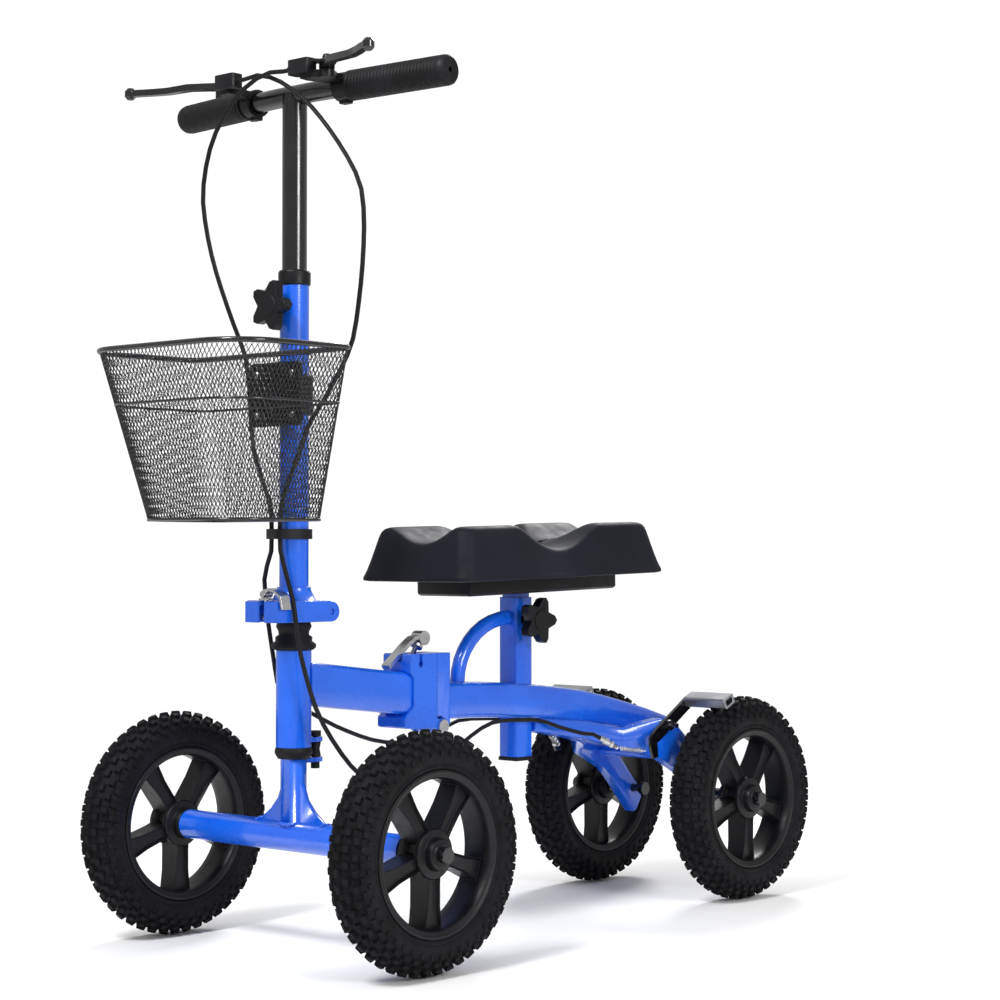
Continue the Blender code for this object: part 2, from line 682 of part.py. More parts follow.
def brake_bar():
    """A hollow aluminium bar across the top of the tyre, open at its outer end."""
    x, z = BRAKE_BAR
    turn = Matrix.Rotation(math.atan2(x + WHEELBASE, z - AXLE_Z), 3, "Y")
    near = BRAKE_PIVOT[1] + 0.002 + GAP
    rings = []
    for inset, y in ((0, near), (0, 0.1455), (0.003, 0.1455), (0.003, near + 0.004)):
        outline = rounded_rectangle(0.010 - inset, 0.0065 - inset, 0.0015, 1)
        rings.append([Vector((x, y, z)) + turn @ Vector((a, 0, b)) for a, b in outline])
    return loft(rings)


def make_brakes():
    adjuster = cable_adjuster()
    spring = brake_spring()
    for name, mesh in (("cable_adjuster", adjuster), ("brake_spring", spring)):
        right = mirrored(mesh)
        add_piece(name + "_left", mesh, "silver", "rear_frame")
        add_piece(name + "_right", right, "silver", "rear_frame")
    add_piece("brake_bracket", brake_bracket(), "black_paint", "rear_frame")
    add_pair("brake_arm", brake_arm(), "black_paint", "brake")
    add_pair("brake_bar", brake_bar(), "aluminium", "brake")


# --- Seat --------------------------------------------------------------------------------------------------


def knob(centre, axis, stud_from, boss_from, low, high):
    """A five-lobed star knob from low to high along its axis, with a round boss and a threaded stud."""
    lobes = []
    for k in range(30):
        angle = 2 * math.pi * k / 30
        radius = 0.0225 + 0.0060 * math.cos(5 * angle)
        lobes.append((radius * math.cos(angle), radius * math.sin(angle)))
    star = extruded(lobes, low, high, "XY")
    turn = Vector(axis).to_track_quat("Z", "Y").to_matrix().to_4x4()
    star.transform(Matrix.Translation(centre) @ turn)
    stud = [(0.0030, stud_from), (0.0030, boss_from), (0.0070, boss_from), (0.0070, low - 0.003)]
    stud += [(0.0120, low + 0.001), (0.0120, high + 0.0012)]
    return joined(star, turned(stud, 16, centre, axis))


def knee_pad():
    """The pad's outline, with slightly drafted sides."""
    rings = []
    for half_long, half_wide, z in ((0.1813, 0.0894, 0.4055), (0.1813, 0.0894, 0.4115), (0.1700, 0.0775, 0.4690)):
        rings.append([(-0.3608 + a, b, z) for a, b in rounded_rectangle(half_long, half_wide, 0.012, 3)])
    return loft(rings)


def make_seat():
    post = square_tube(POST_HALF, 0.0018, 0.215, 0.3866, SEAT_X)
    add_piece("seat_post", post, "blue_paint", "seat")
    rings = []
    for half_long, half_wide, z in ((0.1300, 0.0415, 0.3875), (0.1325, 0.0440, 0.3900), (0.1325, 0.0440, 0.4052)):
        rings.append([(-0.3655 + a, b, z) for a, b in rounded_rectangle(half_long, half_wide, 0.005)])
    add_piece("seat_plate", tilted(loft(rings)), "black_plastic", "seat")
    add_piece("knee_pad", tilted(knee_pad()), "pad_vinyl", "seat")
    seat_knob = knob((SEAT_X, 0, SEAT_KNOB_Z), Y_AXIS, POST_HALF + GAP, SEAT_TUBE_HALF + GAP, 0.0300, 0.0415)
    add_piece("seat_knob", seat_knob, "black_plastic", "seat_knob_group")


# --- Front frame and steering ------------------------------------------------------------------------------


def front_beam():
    """A hollow beam from the head tube down to the hinge, shaped to the head tube."""
    rings = []
    for inset in (0.0022, 0):
        for x in (-0.010, -0.1787) if inset else (-0.1787, -0.010):
            z = FRONT_BEAM_Z + FRONT_BEAM_FALL * x
            outline = rounded_rectangle(BEAM_HALF - inset, FRONT_BEAM_TALL / 2 - inset, 0.007 - inset, 3)
            rings.append([(x, a, z + b) for a, b in outline])
    clearance = rod((0, 0, 0.22), (0, 0, 0.34), HEAD_R + GAP, 32)
    return cut(loft(rings, loop=True), clearance)


def front_beam_clearance():
    """The space that the front beam takes at the hinge, with the gap round it."""
    rings = []
    for x in (-0.1790, -0.100):
        z = FRONT_BEAM_Z + FRONT_BEAM_FALL * x
        outline = rounded_rectangle(BEAM_HALF + GAP, FRONT_BEAM_TALL / 2 + GAP, 0.007, 3)
        rings.append([(x, a, z + b) for a, b in outline])
    return loft(rings)


def stop_tab(low, high):
    """A flat lug behind the steering axis, for the self-centring spring's bolt."""
    outline = [(-0.0125, -0.0080), (-0.0125, 0.0080)] + arc((STOP_BOLT_X, 0), 0.0080, 90, 270, 8)
    return extruded(outline, low, high, "XY")


def front_fork():
    """The axle beam, the steerer and the gussets between them."""
    half = FRONT_TRACK - HUB_HALF - GAP
    plug = half - 0.010
    outline = [(BORE_R, -half), (0.0165, -half), (0.0165, half), (BORE_R, half)]
    outline += [(BORE_R, plug), (0.0135, plug), (0.0135, -plug), (BORE_R, -plug)]
    beam = turned(outline, 24, (0, 0, AXLE_Z), Y_AXIS, loop=True)
    steerer = pipe((0, 0, 0.1380), (0, 0, 0.3595), STEERER_R, 0.0115)
    gusset = [(0.0128, 0.1370), (0.0520, 0.1370), (0.0520, 0.1425), (0.0330, 0.1560), (0.0220, 0.1680)]
    gusset += [(0.0150, 0.1850), (0.0128, 0.1850)]
    plates = [extruded([(side * a, b) for a, b in gusset], -0.003, 0.003, "YZ") for side in (1, -1)]
    tab = stop_tab(0.2065, 0.2115)
    bolt_hole = rod((STOP_BOLT_X, 0, 0.20), (STOP_BOLT_X, 0, 0.22), 0.0035)
    steerer_inside = rod((0, 0, 0.1500), (0, 0, 0.3600), 0.0115, 24)
    return cut(joined(beam, steerer, *plates, tab), bolt_hole, steerer_inside)


def head_tube():
    tube = pipe((0, 0, HEAD_LOW), (0, 0, HEAD_TOP), HEAD_R, STEERER_R + GAP, 32)
    inside = rod((0, 0, 0.22), (0, 0, 0.34), STEERER_R + GAP, 32)
    bolt_hole = rod((STOP_BOLT_X, 0, 0.22), (STOP_BOLT_X, 0, 0.24), 0.0035)
    return cut(joined(tube, stop_tab(0.2285, 0.2335)), inside, bolt_hole)


def headset_lower():
    """The black bearing cover between the fork and the head tube."""
    inner = STEERER_R + GAP
    outline = [(inner, 0.2118), (0.0172, 0.2118), (0.0206, 0.2175), (0.0206, 0.2205), (0.0196, 0.2237)]
    outline.append((inner, 0.2237))
    return turned(outline, 24, (0, 0, 0), Z_AXIS, loop=True)


def headset_boot():
    """The ridged rubber boot above the head tube."""
    inner = STEERER_R + GAP
    outline = [(inner, HEAD_TOP + GAP), (0.0215, HEAD_TOP + GAP), (0.0243, 0.3325), (0.0243, 0.3360)]
    outline += [(0.0200, 0.3392), (0.0203, 0.3435), (0.0165, 0.3462), (0.0170, 0.3500), (0.0195, 0.3550)]
    outline += [(0.0180, 0.3602), (inner, 0.3602)]
    return turned(outline, 24, (0, 0, 0), Z_AXIS, loop=True)


def steering_spring():
    """The bolt through both lugs, with the rubber spring that brings the wheels straight."""
    outline = [(0.0050, 0.1990), (0.0050, 0.2060), (0.0030, 0.2060), (0.0030, 0.2120), (0.0065, 0.2120)]
    outline += [(0.0050, 0.2200), (0.0065, 0.2280), (0.0030, 0.2280), (0.0030, 0.2340), (0.0065, 0.2340)]
    outline.append((0.0065, 0.2400))
    return turned(outline, 12, (STOP_BOLT_X, 0, 0), Z_AXIS)


def column_hinge_base():
    """The plate on the steerer that the column folds on, with its pin and the two prongs for the clamp."""
    pin_x, _, pin_z = COLUMN_PIN
    clamp_x, _, clamp_z = CLAMP_PIVOT
    outline = arc((pin_x, pin_z), 0.007, 90, 255, 8)
    outline += [(-0.0290, 0.3605), (0.0335, 0.3605), (0.0335, 0.3780)]
    plate = extruded(outline, -0.0195, 0.0195)
    left_prong = box((0.0320, 0.006, 0.3605), (0.0445, 0.0105, 0.3720))
    seat = rod((clamp_x, -0.03, clamp_z), (clamp_x, 0.03, clamp_z), 0.0033)
    mouth = box((clamp_x - 0.0033, -0.03, clamp_z), (clamp_x + 0.0033, 0.03, 0.39))
    spigot = rod((0, 0, 0.3350), (0, 0, 0.3650), 0.0112, 24)
    pin = rod((pin_x, -0.0245, pin_z), (pin_x, 0.0245, pin_z), 0.0030)
    return joined(cut(joined(plate, left_prong, mirrored(left_prong)), seat, mouth), spigot, pin)


def make_front_frame():
    add_piece("front_beam", front_beam(), "blue_paint", "front_frame")
    add_piece("front_hinge_casting", front_hinge_casting(), "blue_paint", "front_frame")
    add_piece("head_tube", head_tube(), "blue_paint", "front_frame")
    add_piece("headset_lower", headset_lower(), "black_rubber", "front_frame")
    add_piece("headset_boot", headset_boot(), "black_rubber", "front_frame")
    add_piece("steering_spring", steering_spring(), "black_rubber", "front_frame")
    add_piece("front_fork", front_fork(), "blue_paint", "steering")
    add_piece("column_hinge_base", column_hinge_base(), "blue_paint", "steering")


# --- Column ------------------------------------------------------------------------------------------------


def column_casting():
    """The folding casting: a channel over the base plate, two front ears, and the flare that holds the tube."""
    pin_x, _, pin_z = COLUMN_PIN
    clamp_x, _, clamp_z = CLAMP_PIVOT
    ear = 0.018
    front = 0.0475
    roof = 0.3830
    lean = math.degrees(math.acos((front - clamp_x) / ear))
    outline = arc((pin_x, pin_z), 0.0110, 115, 270, 8)
    outline += [(front, 0.3600)] + arc((clamp_x, clamp_z), ear, lean, 105, 5)
    outline += [(0.0280, roof), (pin_x + 0.004, roof)]
    body = extruded(outline, -0.0260, 0.0260)
    cone = [(0.0240, 0.3790), (0.0240, 0.3835), (0.0185, 0.3950), (0.0185, 0.3980)]
    flare = turned(cone, 24, (0, 0, 0), Z_AXIS)
    channel = box((-0.06, -CHANNEL_HALF, 0.35), (0.0450, CHANNEL_HALF, CHANNEL_TOP))
    slot = box((0.0360, -0.0045, 0.35), (0.06, 0.0045, 0.40))
    bore = rod((pin_x, -0.03, pin_z), (pin_x, 0.03, pin_z), 0.0034)
    socket = rod((0, 0, 0.3850), (0, 0, 0.41), COLUMN_R + GAP, 24)
    return cut(joined(body, flare), channel, slot, bore, socket)


def column_latch_bolt():
    """The swing bolt: a shank on a cross pin, the clamping washer and the eye of the cam lever."""
    x, _, z = CLAMP_PIVOT
    shank = [(0.003, z), (0.003, 0.3843), (0.0085, 0.3843), (0.0085, 0.3863), (0.0030, 0.3863), (0.0030, 0.3900)]
    cross_pin = rod((x, -0.0105, z), (x, 0.0105, z), 0.0030)
    eye = rod((x - 0.0040, 0, CLAMP_CAM[2]), (x + 0.0040, 0, CLAMP_CAM[2]), 0.0035)
    return joined(turned(shank, 12, (x, 0, 0), Z_AXIS), cross_pin, eye)


def column_latch_lever():
    """A curved strip on two cheeks, folded down beside the casting."""
    x, _, z = CLAMP_CAM
    half = 0.0065
    cheeks = rod((x - half, 0, z), (x + half, 0, z), 0.0038, 16)
    outside = [(-0.0026, 0.3930), (0.0020, 0.3958), (0.0100, 0.3972), (0.0200, 0.3948), (0.0296, 0.3885)]
    tip = [(0.0330, 0.3745), (0.0305, 0.3742)]
    inside = [(0.0288, 0.3790), (0.0270, 0.3868), (0.0185, 0.3922), (0.0100, 0.3945), (0.0030, 0.3905)]
    strip = extruded(outside + tip + inside, x - half, x + half, "YZ")
    around_eye = box((x - 0.0043, -0.02, 0.3800), (x + 0.0043, 0.0050, 0.3960))
    return cut(joined(cheeks, strip), around_eye)


def column_tube():
    tube = pipe((0, 0, 0.3853), (0, 0, COLUMN_TOP), COLUMN_R, COLUMN_BORE_R)
    knob_hole = rod((0.005, 0, COLUMN_KNOB_Z), (0.03, 0, COLUMN_KNOB_Z), 0.0034)
    return cut(tube, knob_hole)


def column_collar():
    inner = STEM_R + GAP + 0.0001
    outline = [(inner, COLUMN_TOP + GAP), (0.01775, COLUMN_TOP + GAP), (0.01775, 0.7405), (0.0165, 0.7429)]
    outline.append((inner, 0.7429))
    return turned(outline, 24, (0, 0, 0), Z_AXIS, loop=True)


def basket_ring(level, inset):
    """The basket's outline at a level from 0, the bottom, to 1, the rim."""
    front = BASKET_LOW_FRONT + (BASKET_FRONT - BASKET_LOW_FRONT) * level - inset
    half = BASKET_LOW_HALF + (BASKET_HALF - BASKET_LOW_HALF) * level - inset
    back = BASKET_BACK + inset
    big = 0.020
    small = 0.010
    points = arc((front - big, half - big), big, 0, 90, 4)
    points += arc((back + small, half - small), small, 90, 180, 3)
    points += arc((back + small, -half + small), small, 180, 270, 3)
    points += arc((front - big, -half + big), big, 270, 360, 4)
    z = BASKET_LOW + (BASKET_TOP - BASKET_LOW) * level
    return [(x, y, z) for x, y in points]


def basket():
    outer = [basket_ring(0, 0), basket_ring(1, 0)]
    inner = [basket_ring(1, BASKET_WALL), basket_ring(BASKET_WALL / (BASKET_TOP - BASKET_LOW), BASKET_WALL)]
    return loft(outer + inner)


def basket_bracket():
    """The clamp round the column and the plate that the basket is screwed to."""
    clamp = pipe((0, 0, 0.5850), (0, 0, 0.6280), 0.0205, COLUMN_R + GAP)
    block = box((0.0165, -0.0110, 0.5850), (0.0260, 0.0110, 0.6280))
    outline = [(a, 0.6065 + b) for a, b in rounded_rectangle(0.040, 0.0345, 0.004)]
    plate = extruded(outline, 0.0240, BASKET_BACK - GAP, "YZ")
    inside = rod((0, 0, 0.57), (0, 0, 0.64), COLUMN_R + GAP, 24)
    return cut(joined(clamp, block, plate), inside)


def cable_clip():
    """The strap that ties both brake cables to the column."""
    bm = bmesh.new()
    for x, y, radius in ((0, 0, 0.0200), (*CLIP_CABLE_LEFT, 0.0056), (*CLIP_CABLE_RIGHT, 0.0056)):
        for a, b in arc((x, y), radius, 0, 345, 23):
            for z in (CLIP_LOW, CLIP_HIGH):
                bm.verts.new((a, b, z))
    hull = bmesh.ops.convex_hull(bm, input=bm.verts)
    spare = {item for item in hull["geom_interior"] + hull["geom_unused"] if isinstance(item, bmesh.types.BMVert)}
    bmesh.ops.delete(bm, geom=list(spare), context="VERTS")
    holes = [rod((0, 0, 0.44), (0, 0, 0.47), COLUMN_R + GAP, 24)]
    for x, y in (CLIP_CABLE_LEFT, CLIP_CABLE_RIGHT):
        holes.append(rod((x, y, 0.44), (x, y, 0.47), CABLE_R + 0.0010))
    return cut(finished(bm), *holes)


def make_column():
    add_piece("column_casting", column_casting(), "blue_paint", "column")
    add_piece("column_tube", column_tube(), "blue_paint", "column")
    add_piece("column_collar", column_collar(), "black_plastic", "column")
    add_piece("basket_bracket", basket_bracket(), "black_plastic", "column")
    add_piece("basket", basket(), "black_paint", "column")
    add_piece("cable_clip", cable_clip(), "black_plastic", "column")
    add_piece("column_latch_bolt", column_latch_bolt(), "silver", "column_latch")
    add_piece("column_latch_lever", column_latch_lever(), "silver", "column_latch_handle")
    column_knob = knob((0, 0, COLUMN_KNOB_Z), X_AXIS, STEM_R + GAP, COLUMN_R + GAP, 0.0285, 0.0395)
    add_piece("column_knob", column_knob, "black_plastic", "column_knob_group")


# --- Handlebar ---------------------------------------------------------------------------------------------


def bar_point(y):
    """A point on the handlebar's centre line, at a distance y to the left."""
    side = abs(y)
    bent = min(max(side - BAR_FLAT, 0.0), BAR_STRAIGHT - BAR_FLAT)
    ratio = bent / (BAR_STRAIGHT - BAR_FLAT)
    curve = ratio * bent / 2
    straight = max(side - BAR_STRAIGHT, 0.0)
    return Vector((-BAR_SWEEP * (curve + straight), y, BAR_Z + BAR_RISE * (curve + straight)))


def bar_direction():
    return (bar_point(BAR_END) - bar_point(BAR_STRAIGHT)).normalized()


def handlebar():
    """The bent tube of the bar, open at its ends."""
    stations = [-BAR_END, -BAR_STRAIGHT, -0.0325, -BAR_FLAT, 0.0, BAR_FLAT, 0.0325, BAR_STRAIGHT, BAR_END]
    turns = [2 * math.pi * k / 16 for k in range(16)]
    rings = {BAR_R: [], BAR_R - 0.0018: []}
    for radius, found in rings.items():
        for y in stations:
            along = (bar_point(y + 0.002) - bar_point(y - 0.002)).normalized()
            across = along.cross(Z_AXIS).normalized()
            up = across.cross(along)
            found.append([bar_point(y) + radius * (across * math.cos(a) + up * math.sin(a)) for a in turns])
    outer, inner = rings.values()
    return loft(outer + inner[::-1], loop=True)


def stem_tube():
    """The sliding stem, its top shaped to the underside of the bar."""
    tube = pipe((0, 0, 0.5750), (0, 0, BAR_Z), STEM_R, 0.0116)
    bar_space = rod((0, -0.03, BAR_Z), (0, 0.03, BAR_Z), BAR_R + GAP, 24)
    return cut(tube, bar_space)


def grip():
    inner = BAR_R + GAP
    start = bar_point(GRIP_START)
    bar_length = (bar_point(BAR_END) - start).length
    length = bar_length + 0.0028
    outline = [(inner, 0), (0.0165, 0), (0.0165, length - 0.008), (0.0150, length - 0.003)]
    outline += [(0.0110, length), (0.0025, length), (0.0025, bar_length + GAP), (inner, bar_length + GAP)]
    return turned(outline, 20, start, bar_direction(), loop=True)


def lever_mount():
    """The clamp on the bar, the two plates that hold the lever's pin, the cable housing and the clamp bolt."""
    x, y, _ = LEVER_PIVOT
    start = bar_point(0.0650)
    length = (bar_point(0.0812) - start).length
    ring = turned([(0.0155, 0), (0.0155, length)], 20, start, bar_direction())
    low_plate = [(0.0000, 0.0655), (0.0340, 0.0560), (0.0460, 0.0580), (0.0440, 0.0740)]
    low_plate += arc((x, y), 0.0080, -40, 135, 6) + [(0.0125, 0.0810), (0.0000, 0.0810)]
    top_plate = [(0.0370, 0.0580), (0.0500, 0.0580), (0.0490, 0.0720)]
    top_plate += arc((x, y), 0.0075, -20, 165, 6)
    outline = [(0.0440 + a, 0.0595 + b) for a, b in rounded_rectangle(0.0080, 0.0155, 0.003)]
    housing = extruded(outline, 0.943, 0.959, "XY")
    barrel = rod((0.0456, 0.050, 0.950), (0.0456, 0.0409, 0.950), 0.0038)
    pin = rod((x, y, 0.944), (x, y, 0.958), 0.0025)
    screw = turned([(0.0050, 0.9570), (0.0050, 0.9610), (0.0036, 0.9635)], 12, (x, y, 0), Z_AXIS)
    clamp_lug = box((-0.0125, 0.0665, 0.9175), (-0.0035, 0.0785, 0.9250))
    clamp_bolt = rod((-0.0083, 0.0700, 0.9200), (-0.0083, 0.0806, 0.9200), 0.0032, 6)
    pieces = [extruded(low_plate, 0.9385, 0.9470, "XY"), extruded(top_plate, 0.9550, 0.9580, "XY")]
    pieces += [housing, barrel, pin, screw, clamp_lug, clamp_bolt]
    bar_space = rod(bar_point(BAR_STRAIGHT), bar_point(BAR_END), BAR_R + GAP, 20)
    return cut(joined(ring, *pieces), bar_space)


def brake_lever():
    """The hand lever: an eye on the pivot pin, a curved blade and a ball end."""
    x, y, _ = LEVER_PIVOT
    low = 0.9475
    high = 0.9545
    middle = [(x, y), (0.0420, 0.0985), (0.0526, 0.1154), (0.0540, 0.1310), (0.0555, 0.1474), (0.0625, 0.1650)]
    middle += [(0.0710, 0.1813), (0.0746, 0.1917)]
    halves = [0.0075, 0.0062, 0.0055, 0.0052, 0.0050, 0.0047, 0.0045, 0.0042]
    blade = extruded(ribbon(middle, halves), low, high, "XY")
    eye = rod((x, y, low), (x, y, high), 0.0085, 16)
    ball = [(0.0035, -0.0065), (0.0065, -0.0030), (0.0065, 0.0030), (0.0035, 0.0065)]
    end = turned(ball, 12, (*middle[-1], 0.951), Z_AXIS)
    bore = rod((x, y, 0.94), (x, y, 0.96), 0.0028)
    return cut(joined(blade, eye, end), bore)


def make_handlebar():
    add_piece("stem_tube", stem_tube(), "black_paint", "handlebar_group")
    add_piece("handlebar", handlebar(), "black_paint", "handlebar_group")
    for name, mesh, finish in (("grip", grip(), "black_rubber"), ("lever_mount", lever_mount(), "black_plastic")):
        right = mirrored(mesh)
        add_piece(name + "_left", mesh, finish, "handlebar_group")
        add_piece(name + "_right", right, finish, "handlebar_group")
    add_pair("brake_lever", brake_lever(), "black_paint", "brake_hand")


# --- Brake cables ------------------------------------------------------------------------------------------

# Both cables end alike: under the hinge, beside the seat tube, then out to their adjusters. Y is for the left one.
CABLE_TAIL = [
    (-0.2500, 0.0290, 0.2224), (-0.2900, 0.0270, 0.2358), (-0.3450, 0.0195, 0.2355), (-0.3790, 0.0220, 0.2333),
    (-0.4030, 0.0300, 0.2248), (-0.4400, 0.0365, 0.2150),
]
# The left lever's cable crosses in front of the stem to the right and works the right brake.
LEFT_LEVER_ROUTE = [
    (0.0456, 0.0406, 0.9500), (0.0475, 0.0200, 0.9520), (0.0520, -0.0080, 0.9450), (0.0560, -0.0400, 0.9240),
    (0.0580, -0.0700, 0.8850), (0.0550, -0.0880, 0.8400), (0.0500, -0.0920, 0.8050), (0.0430, -0.0850, 0.7550),
    (0.0330, -0.0700, 0.7000), (0.0262, -0.0580, 0.6650), (0.0235, -0.0520, 0.6450), (0.0235, -0.0460, 0.6050),
    (0.0235, -0.0440, 0.5720), (0.0230, -0.0360, 0.5350), (0.0205, -0.0190, 0.4950), (0.0195, -0.0150, 0.4750),
    (0.0195, -0.0150, 0.4380), (0.0175, -0.0220, 0.4250), (0.0120, -0.0345, 0.4110), (0.0040, -0.0415, 0.3850),
    (0.0000, -0.0425, 0.3620), (-0.0050, -0.0382, 0.3180), (-0.0200, -0.0460, 0.2855), (-0.0370, -0.0420, 0.2680),
    (-0.0600, -0.0340, 0.2550), (-0.1050, -0.0350, 0.2360), (-0.1600, -0.0340, 0.2190), (-0.2100, -0.0310, 0.2150),
]
# The right lever's cable crosses behind it to the left and works the left brake.
RIGHT_LEVER_ROUTE = [
    (0.0456, -0.0406, 0.9500), (0.0440, -0.0220, 0.9530), (0.0415, 0.0000, 0.9500), (0.0420, 0.0300, 0.9370),
    (0.0430, 0.0700, 0.9100), (0.0410, 0.1100, 0.8680), (0.0370, 0.1380, 0.8250), (0.0345, 0.1440, 0.7900),
    (0.0310, 0.1390, 0.7400), (0.0265, 0.1270, 0.6900), (0.0238, 0.1150, 0.6550), (0.0235, 0.0950, 0.6250),
    (0.0235, 0.0700, 0.5950), (0.0235, 0.0475, 0.5700), (0.0237, 0.0300, 0.5350), (0.0240, 0.0100, 0.4980),
    (0.0240, 0.0045, 0.4760), (0.0240, 0.0045, 0.4380), (0.0240, 0.0145, 0.4110), (0.0262, 0.0235, 0.3940),
    (0.0272, 0.0300, 0.3787), (0.0220, 0.0335, 0.3307), (0.0120, 0.0456, 0.2737), (-0.0050, 0.0509, 0.2397),
    (-0.0350, 0.0530, 0.2048), (-0.0650, 0.0520, 0.1850), (-0.1000, 0.0500, 0.1750), (-0.1350, 0.0470, 0.1760),
    (-0.1700, 0.0430, 0.1850), (-0.2100, 0.0350, 0.2040),
]


def add_cable(name, route, side):
    """A cable from its lever to the adjuster on one side (1 is left), as a tube along a smooth curve."""
    front, along, _ = adjuster_axis()
    end = front - along * GAP
    tail = [Vector((x, side * y, z)) for x, y, z in CABLE_TAIL]
    finish = Vector((end.x, side * end.y, end.z))
    before = end - along * 0.010
    start = Vector(route[0])
    after = start - Y_AXIS * math.copysign(0.008, start.y)
    stations = [after] + [Vector(station) for station in route[1:]] + tail
    stations.append(Vector((before.x, side * before.y, before.z)))
    points = [start] + smooth_route(stations, 0.020) + [finish]
    curve = bpy.data.curves.new(name, "CURVE")
    curve.dimensions = "3D"
    curve.bevel_depth = CABLE_R
    curve.bevel_resolution = 2
    curve.use_fill_caps = True
    spline = curve.splines.new("POLY")
    spline.points.add(len(points) - 1)
    for point, spot in zip(spline.points, points):
        point.co = (*spot, 1.0)
    curve.materials.append(MATERIALS["black_rubber"])
    cable = bpy.data.objects.new(name, curve)
    cable.parent = EMPTIES["rear_frame"]
    bpy.context.collection.objects.link(cable)


def main():
    make_wheels()
    make_axles()
    make_rear_frame()
    make_brakes()
    make_seat()
    make_front_frame()
    make_column()
    make_handlebar()
    add_cable("brake_cable_left", LEFT_LEVER_ROUTE, -1)
    add_cable("brake_cable_right", RIGHT_LEVER_ROUTE, 1)


main()
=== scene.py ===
"""The looks of a folding knee scooter: paint, rubber, wire mesh and metal on its CAD frame, in a pale studio.

Lengths are metres in the CAD frame: +X forwards, +Y the rider's left, +Z up, and the floor at z = 0.
"""

import json
import math

import bmesh
import bpy
from mathutils import Matrix, Vector


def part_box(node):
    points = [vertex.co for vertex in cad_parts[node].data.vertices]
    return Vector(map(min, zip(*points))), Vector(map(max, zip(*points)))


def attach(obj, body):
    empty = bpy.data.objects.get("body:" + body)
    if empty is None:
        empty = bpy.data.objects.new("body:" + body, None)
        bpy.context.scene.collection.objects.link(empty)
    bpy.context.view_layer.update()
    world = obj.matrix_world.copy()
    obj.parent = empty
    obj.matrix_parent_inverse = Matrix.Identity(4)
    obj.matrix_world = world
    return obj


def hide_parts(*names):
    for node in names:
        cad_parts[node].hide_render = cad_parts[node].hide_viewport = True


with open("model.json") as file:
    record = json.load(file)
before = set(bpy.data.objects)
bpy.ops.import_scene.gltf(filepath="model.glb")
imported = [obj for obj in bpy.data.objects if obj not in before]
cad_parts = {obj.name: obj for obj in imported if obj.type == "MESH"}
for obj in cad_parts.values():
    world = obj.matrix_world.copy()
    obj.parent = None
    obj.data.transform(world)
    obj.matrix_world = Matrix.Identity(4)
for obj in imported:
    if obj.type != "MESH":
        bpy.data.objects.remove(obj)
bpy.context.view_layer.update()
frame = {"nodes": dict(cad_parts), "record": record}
NODES = frame["nodes"]
TAU = 2 * math.pi

# The camera stands low, in front and to the left.
CAMERA_AT = (1.9913, 1.8637, 0.4395)
CAMERA_YAW = math.radians(-137.49)
CAMERA_PITCH = math.radians(1.21)
CAMERA_LENS = 83.06

# Tyre: a round carcass with rows of tread blocks.
BLOCK_HEIGHT = 0.0045
CARCASS_RISE = 0.0200
CARCASS_HALF = 0.0232
TREAD_PITCHES = 46

# Basket: its wires, and how much narrower its floor is than its rim.
MESH_CELL = 0.0062
MESH_AROUND = 128
MESH_ROWS = 36
MESH_WIRE = 0.0013
RIM_WIRE = 0.0030
TAPER_FRONT = 0.032
TAPER_SIDE = 0.043
FRONT_CORNER = 0.055
BACK_CORNER = 0.016
HOOP_LEVEL = 0.68

# Knee pad: its slope, its foot and crown from its middle, its corners in plan, and the depth and half
# width of its dip and its channel.
PAD_SLOPE = math.tan(math.radians(1.5))
PAD_FOOT = -0.0316
PAD_CROWN = 0.0319
PAD_CORNER = 0.020
PAD_DIP = (0.029, 0.073)
PAD_CHANNEL = (0.019, 0.052)

# Grips: how far the handlebar's ends sweep back and rise for each metre outwards.
GRIP_R = 0.0165
GRIP_RINGS = 26
BAR_SWEEP = 0.1458
BAR_RISE = 0.017

# Spokes: their half depth at the middle of the wheel, and how fast they thin towards the rim.
SPOKE_COUNT = 5
FIRST_SPOKE = 18
SPOKE_DEPTH = 0.015625
SPOKE_THINNING = 0.04


# --- Materials ------------------------------------------------------------------------------------


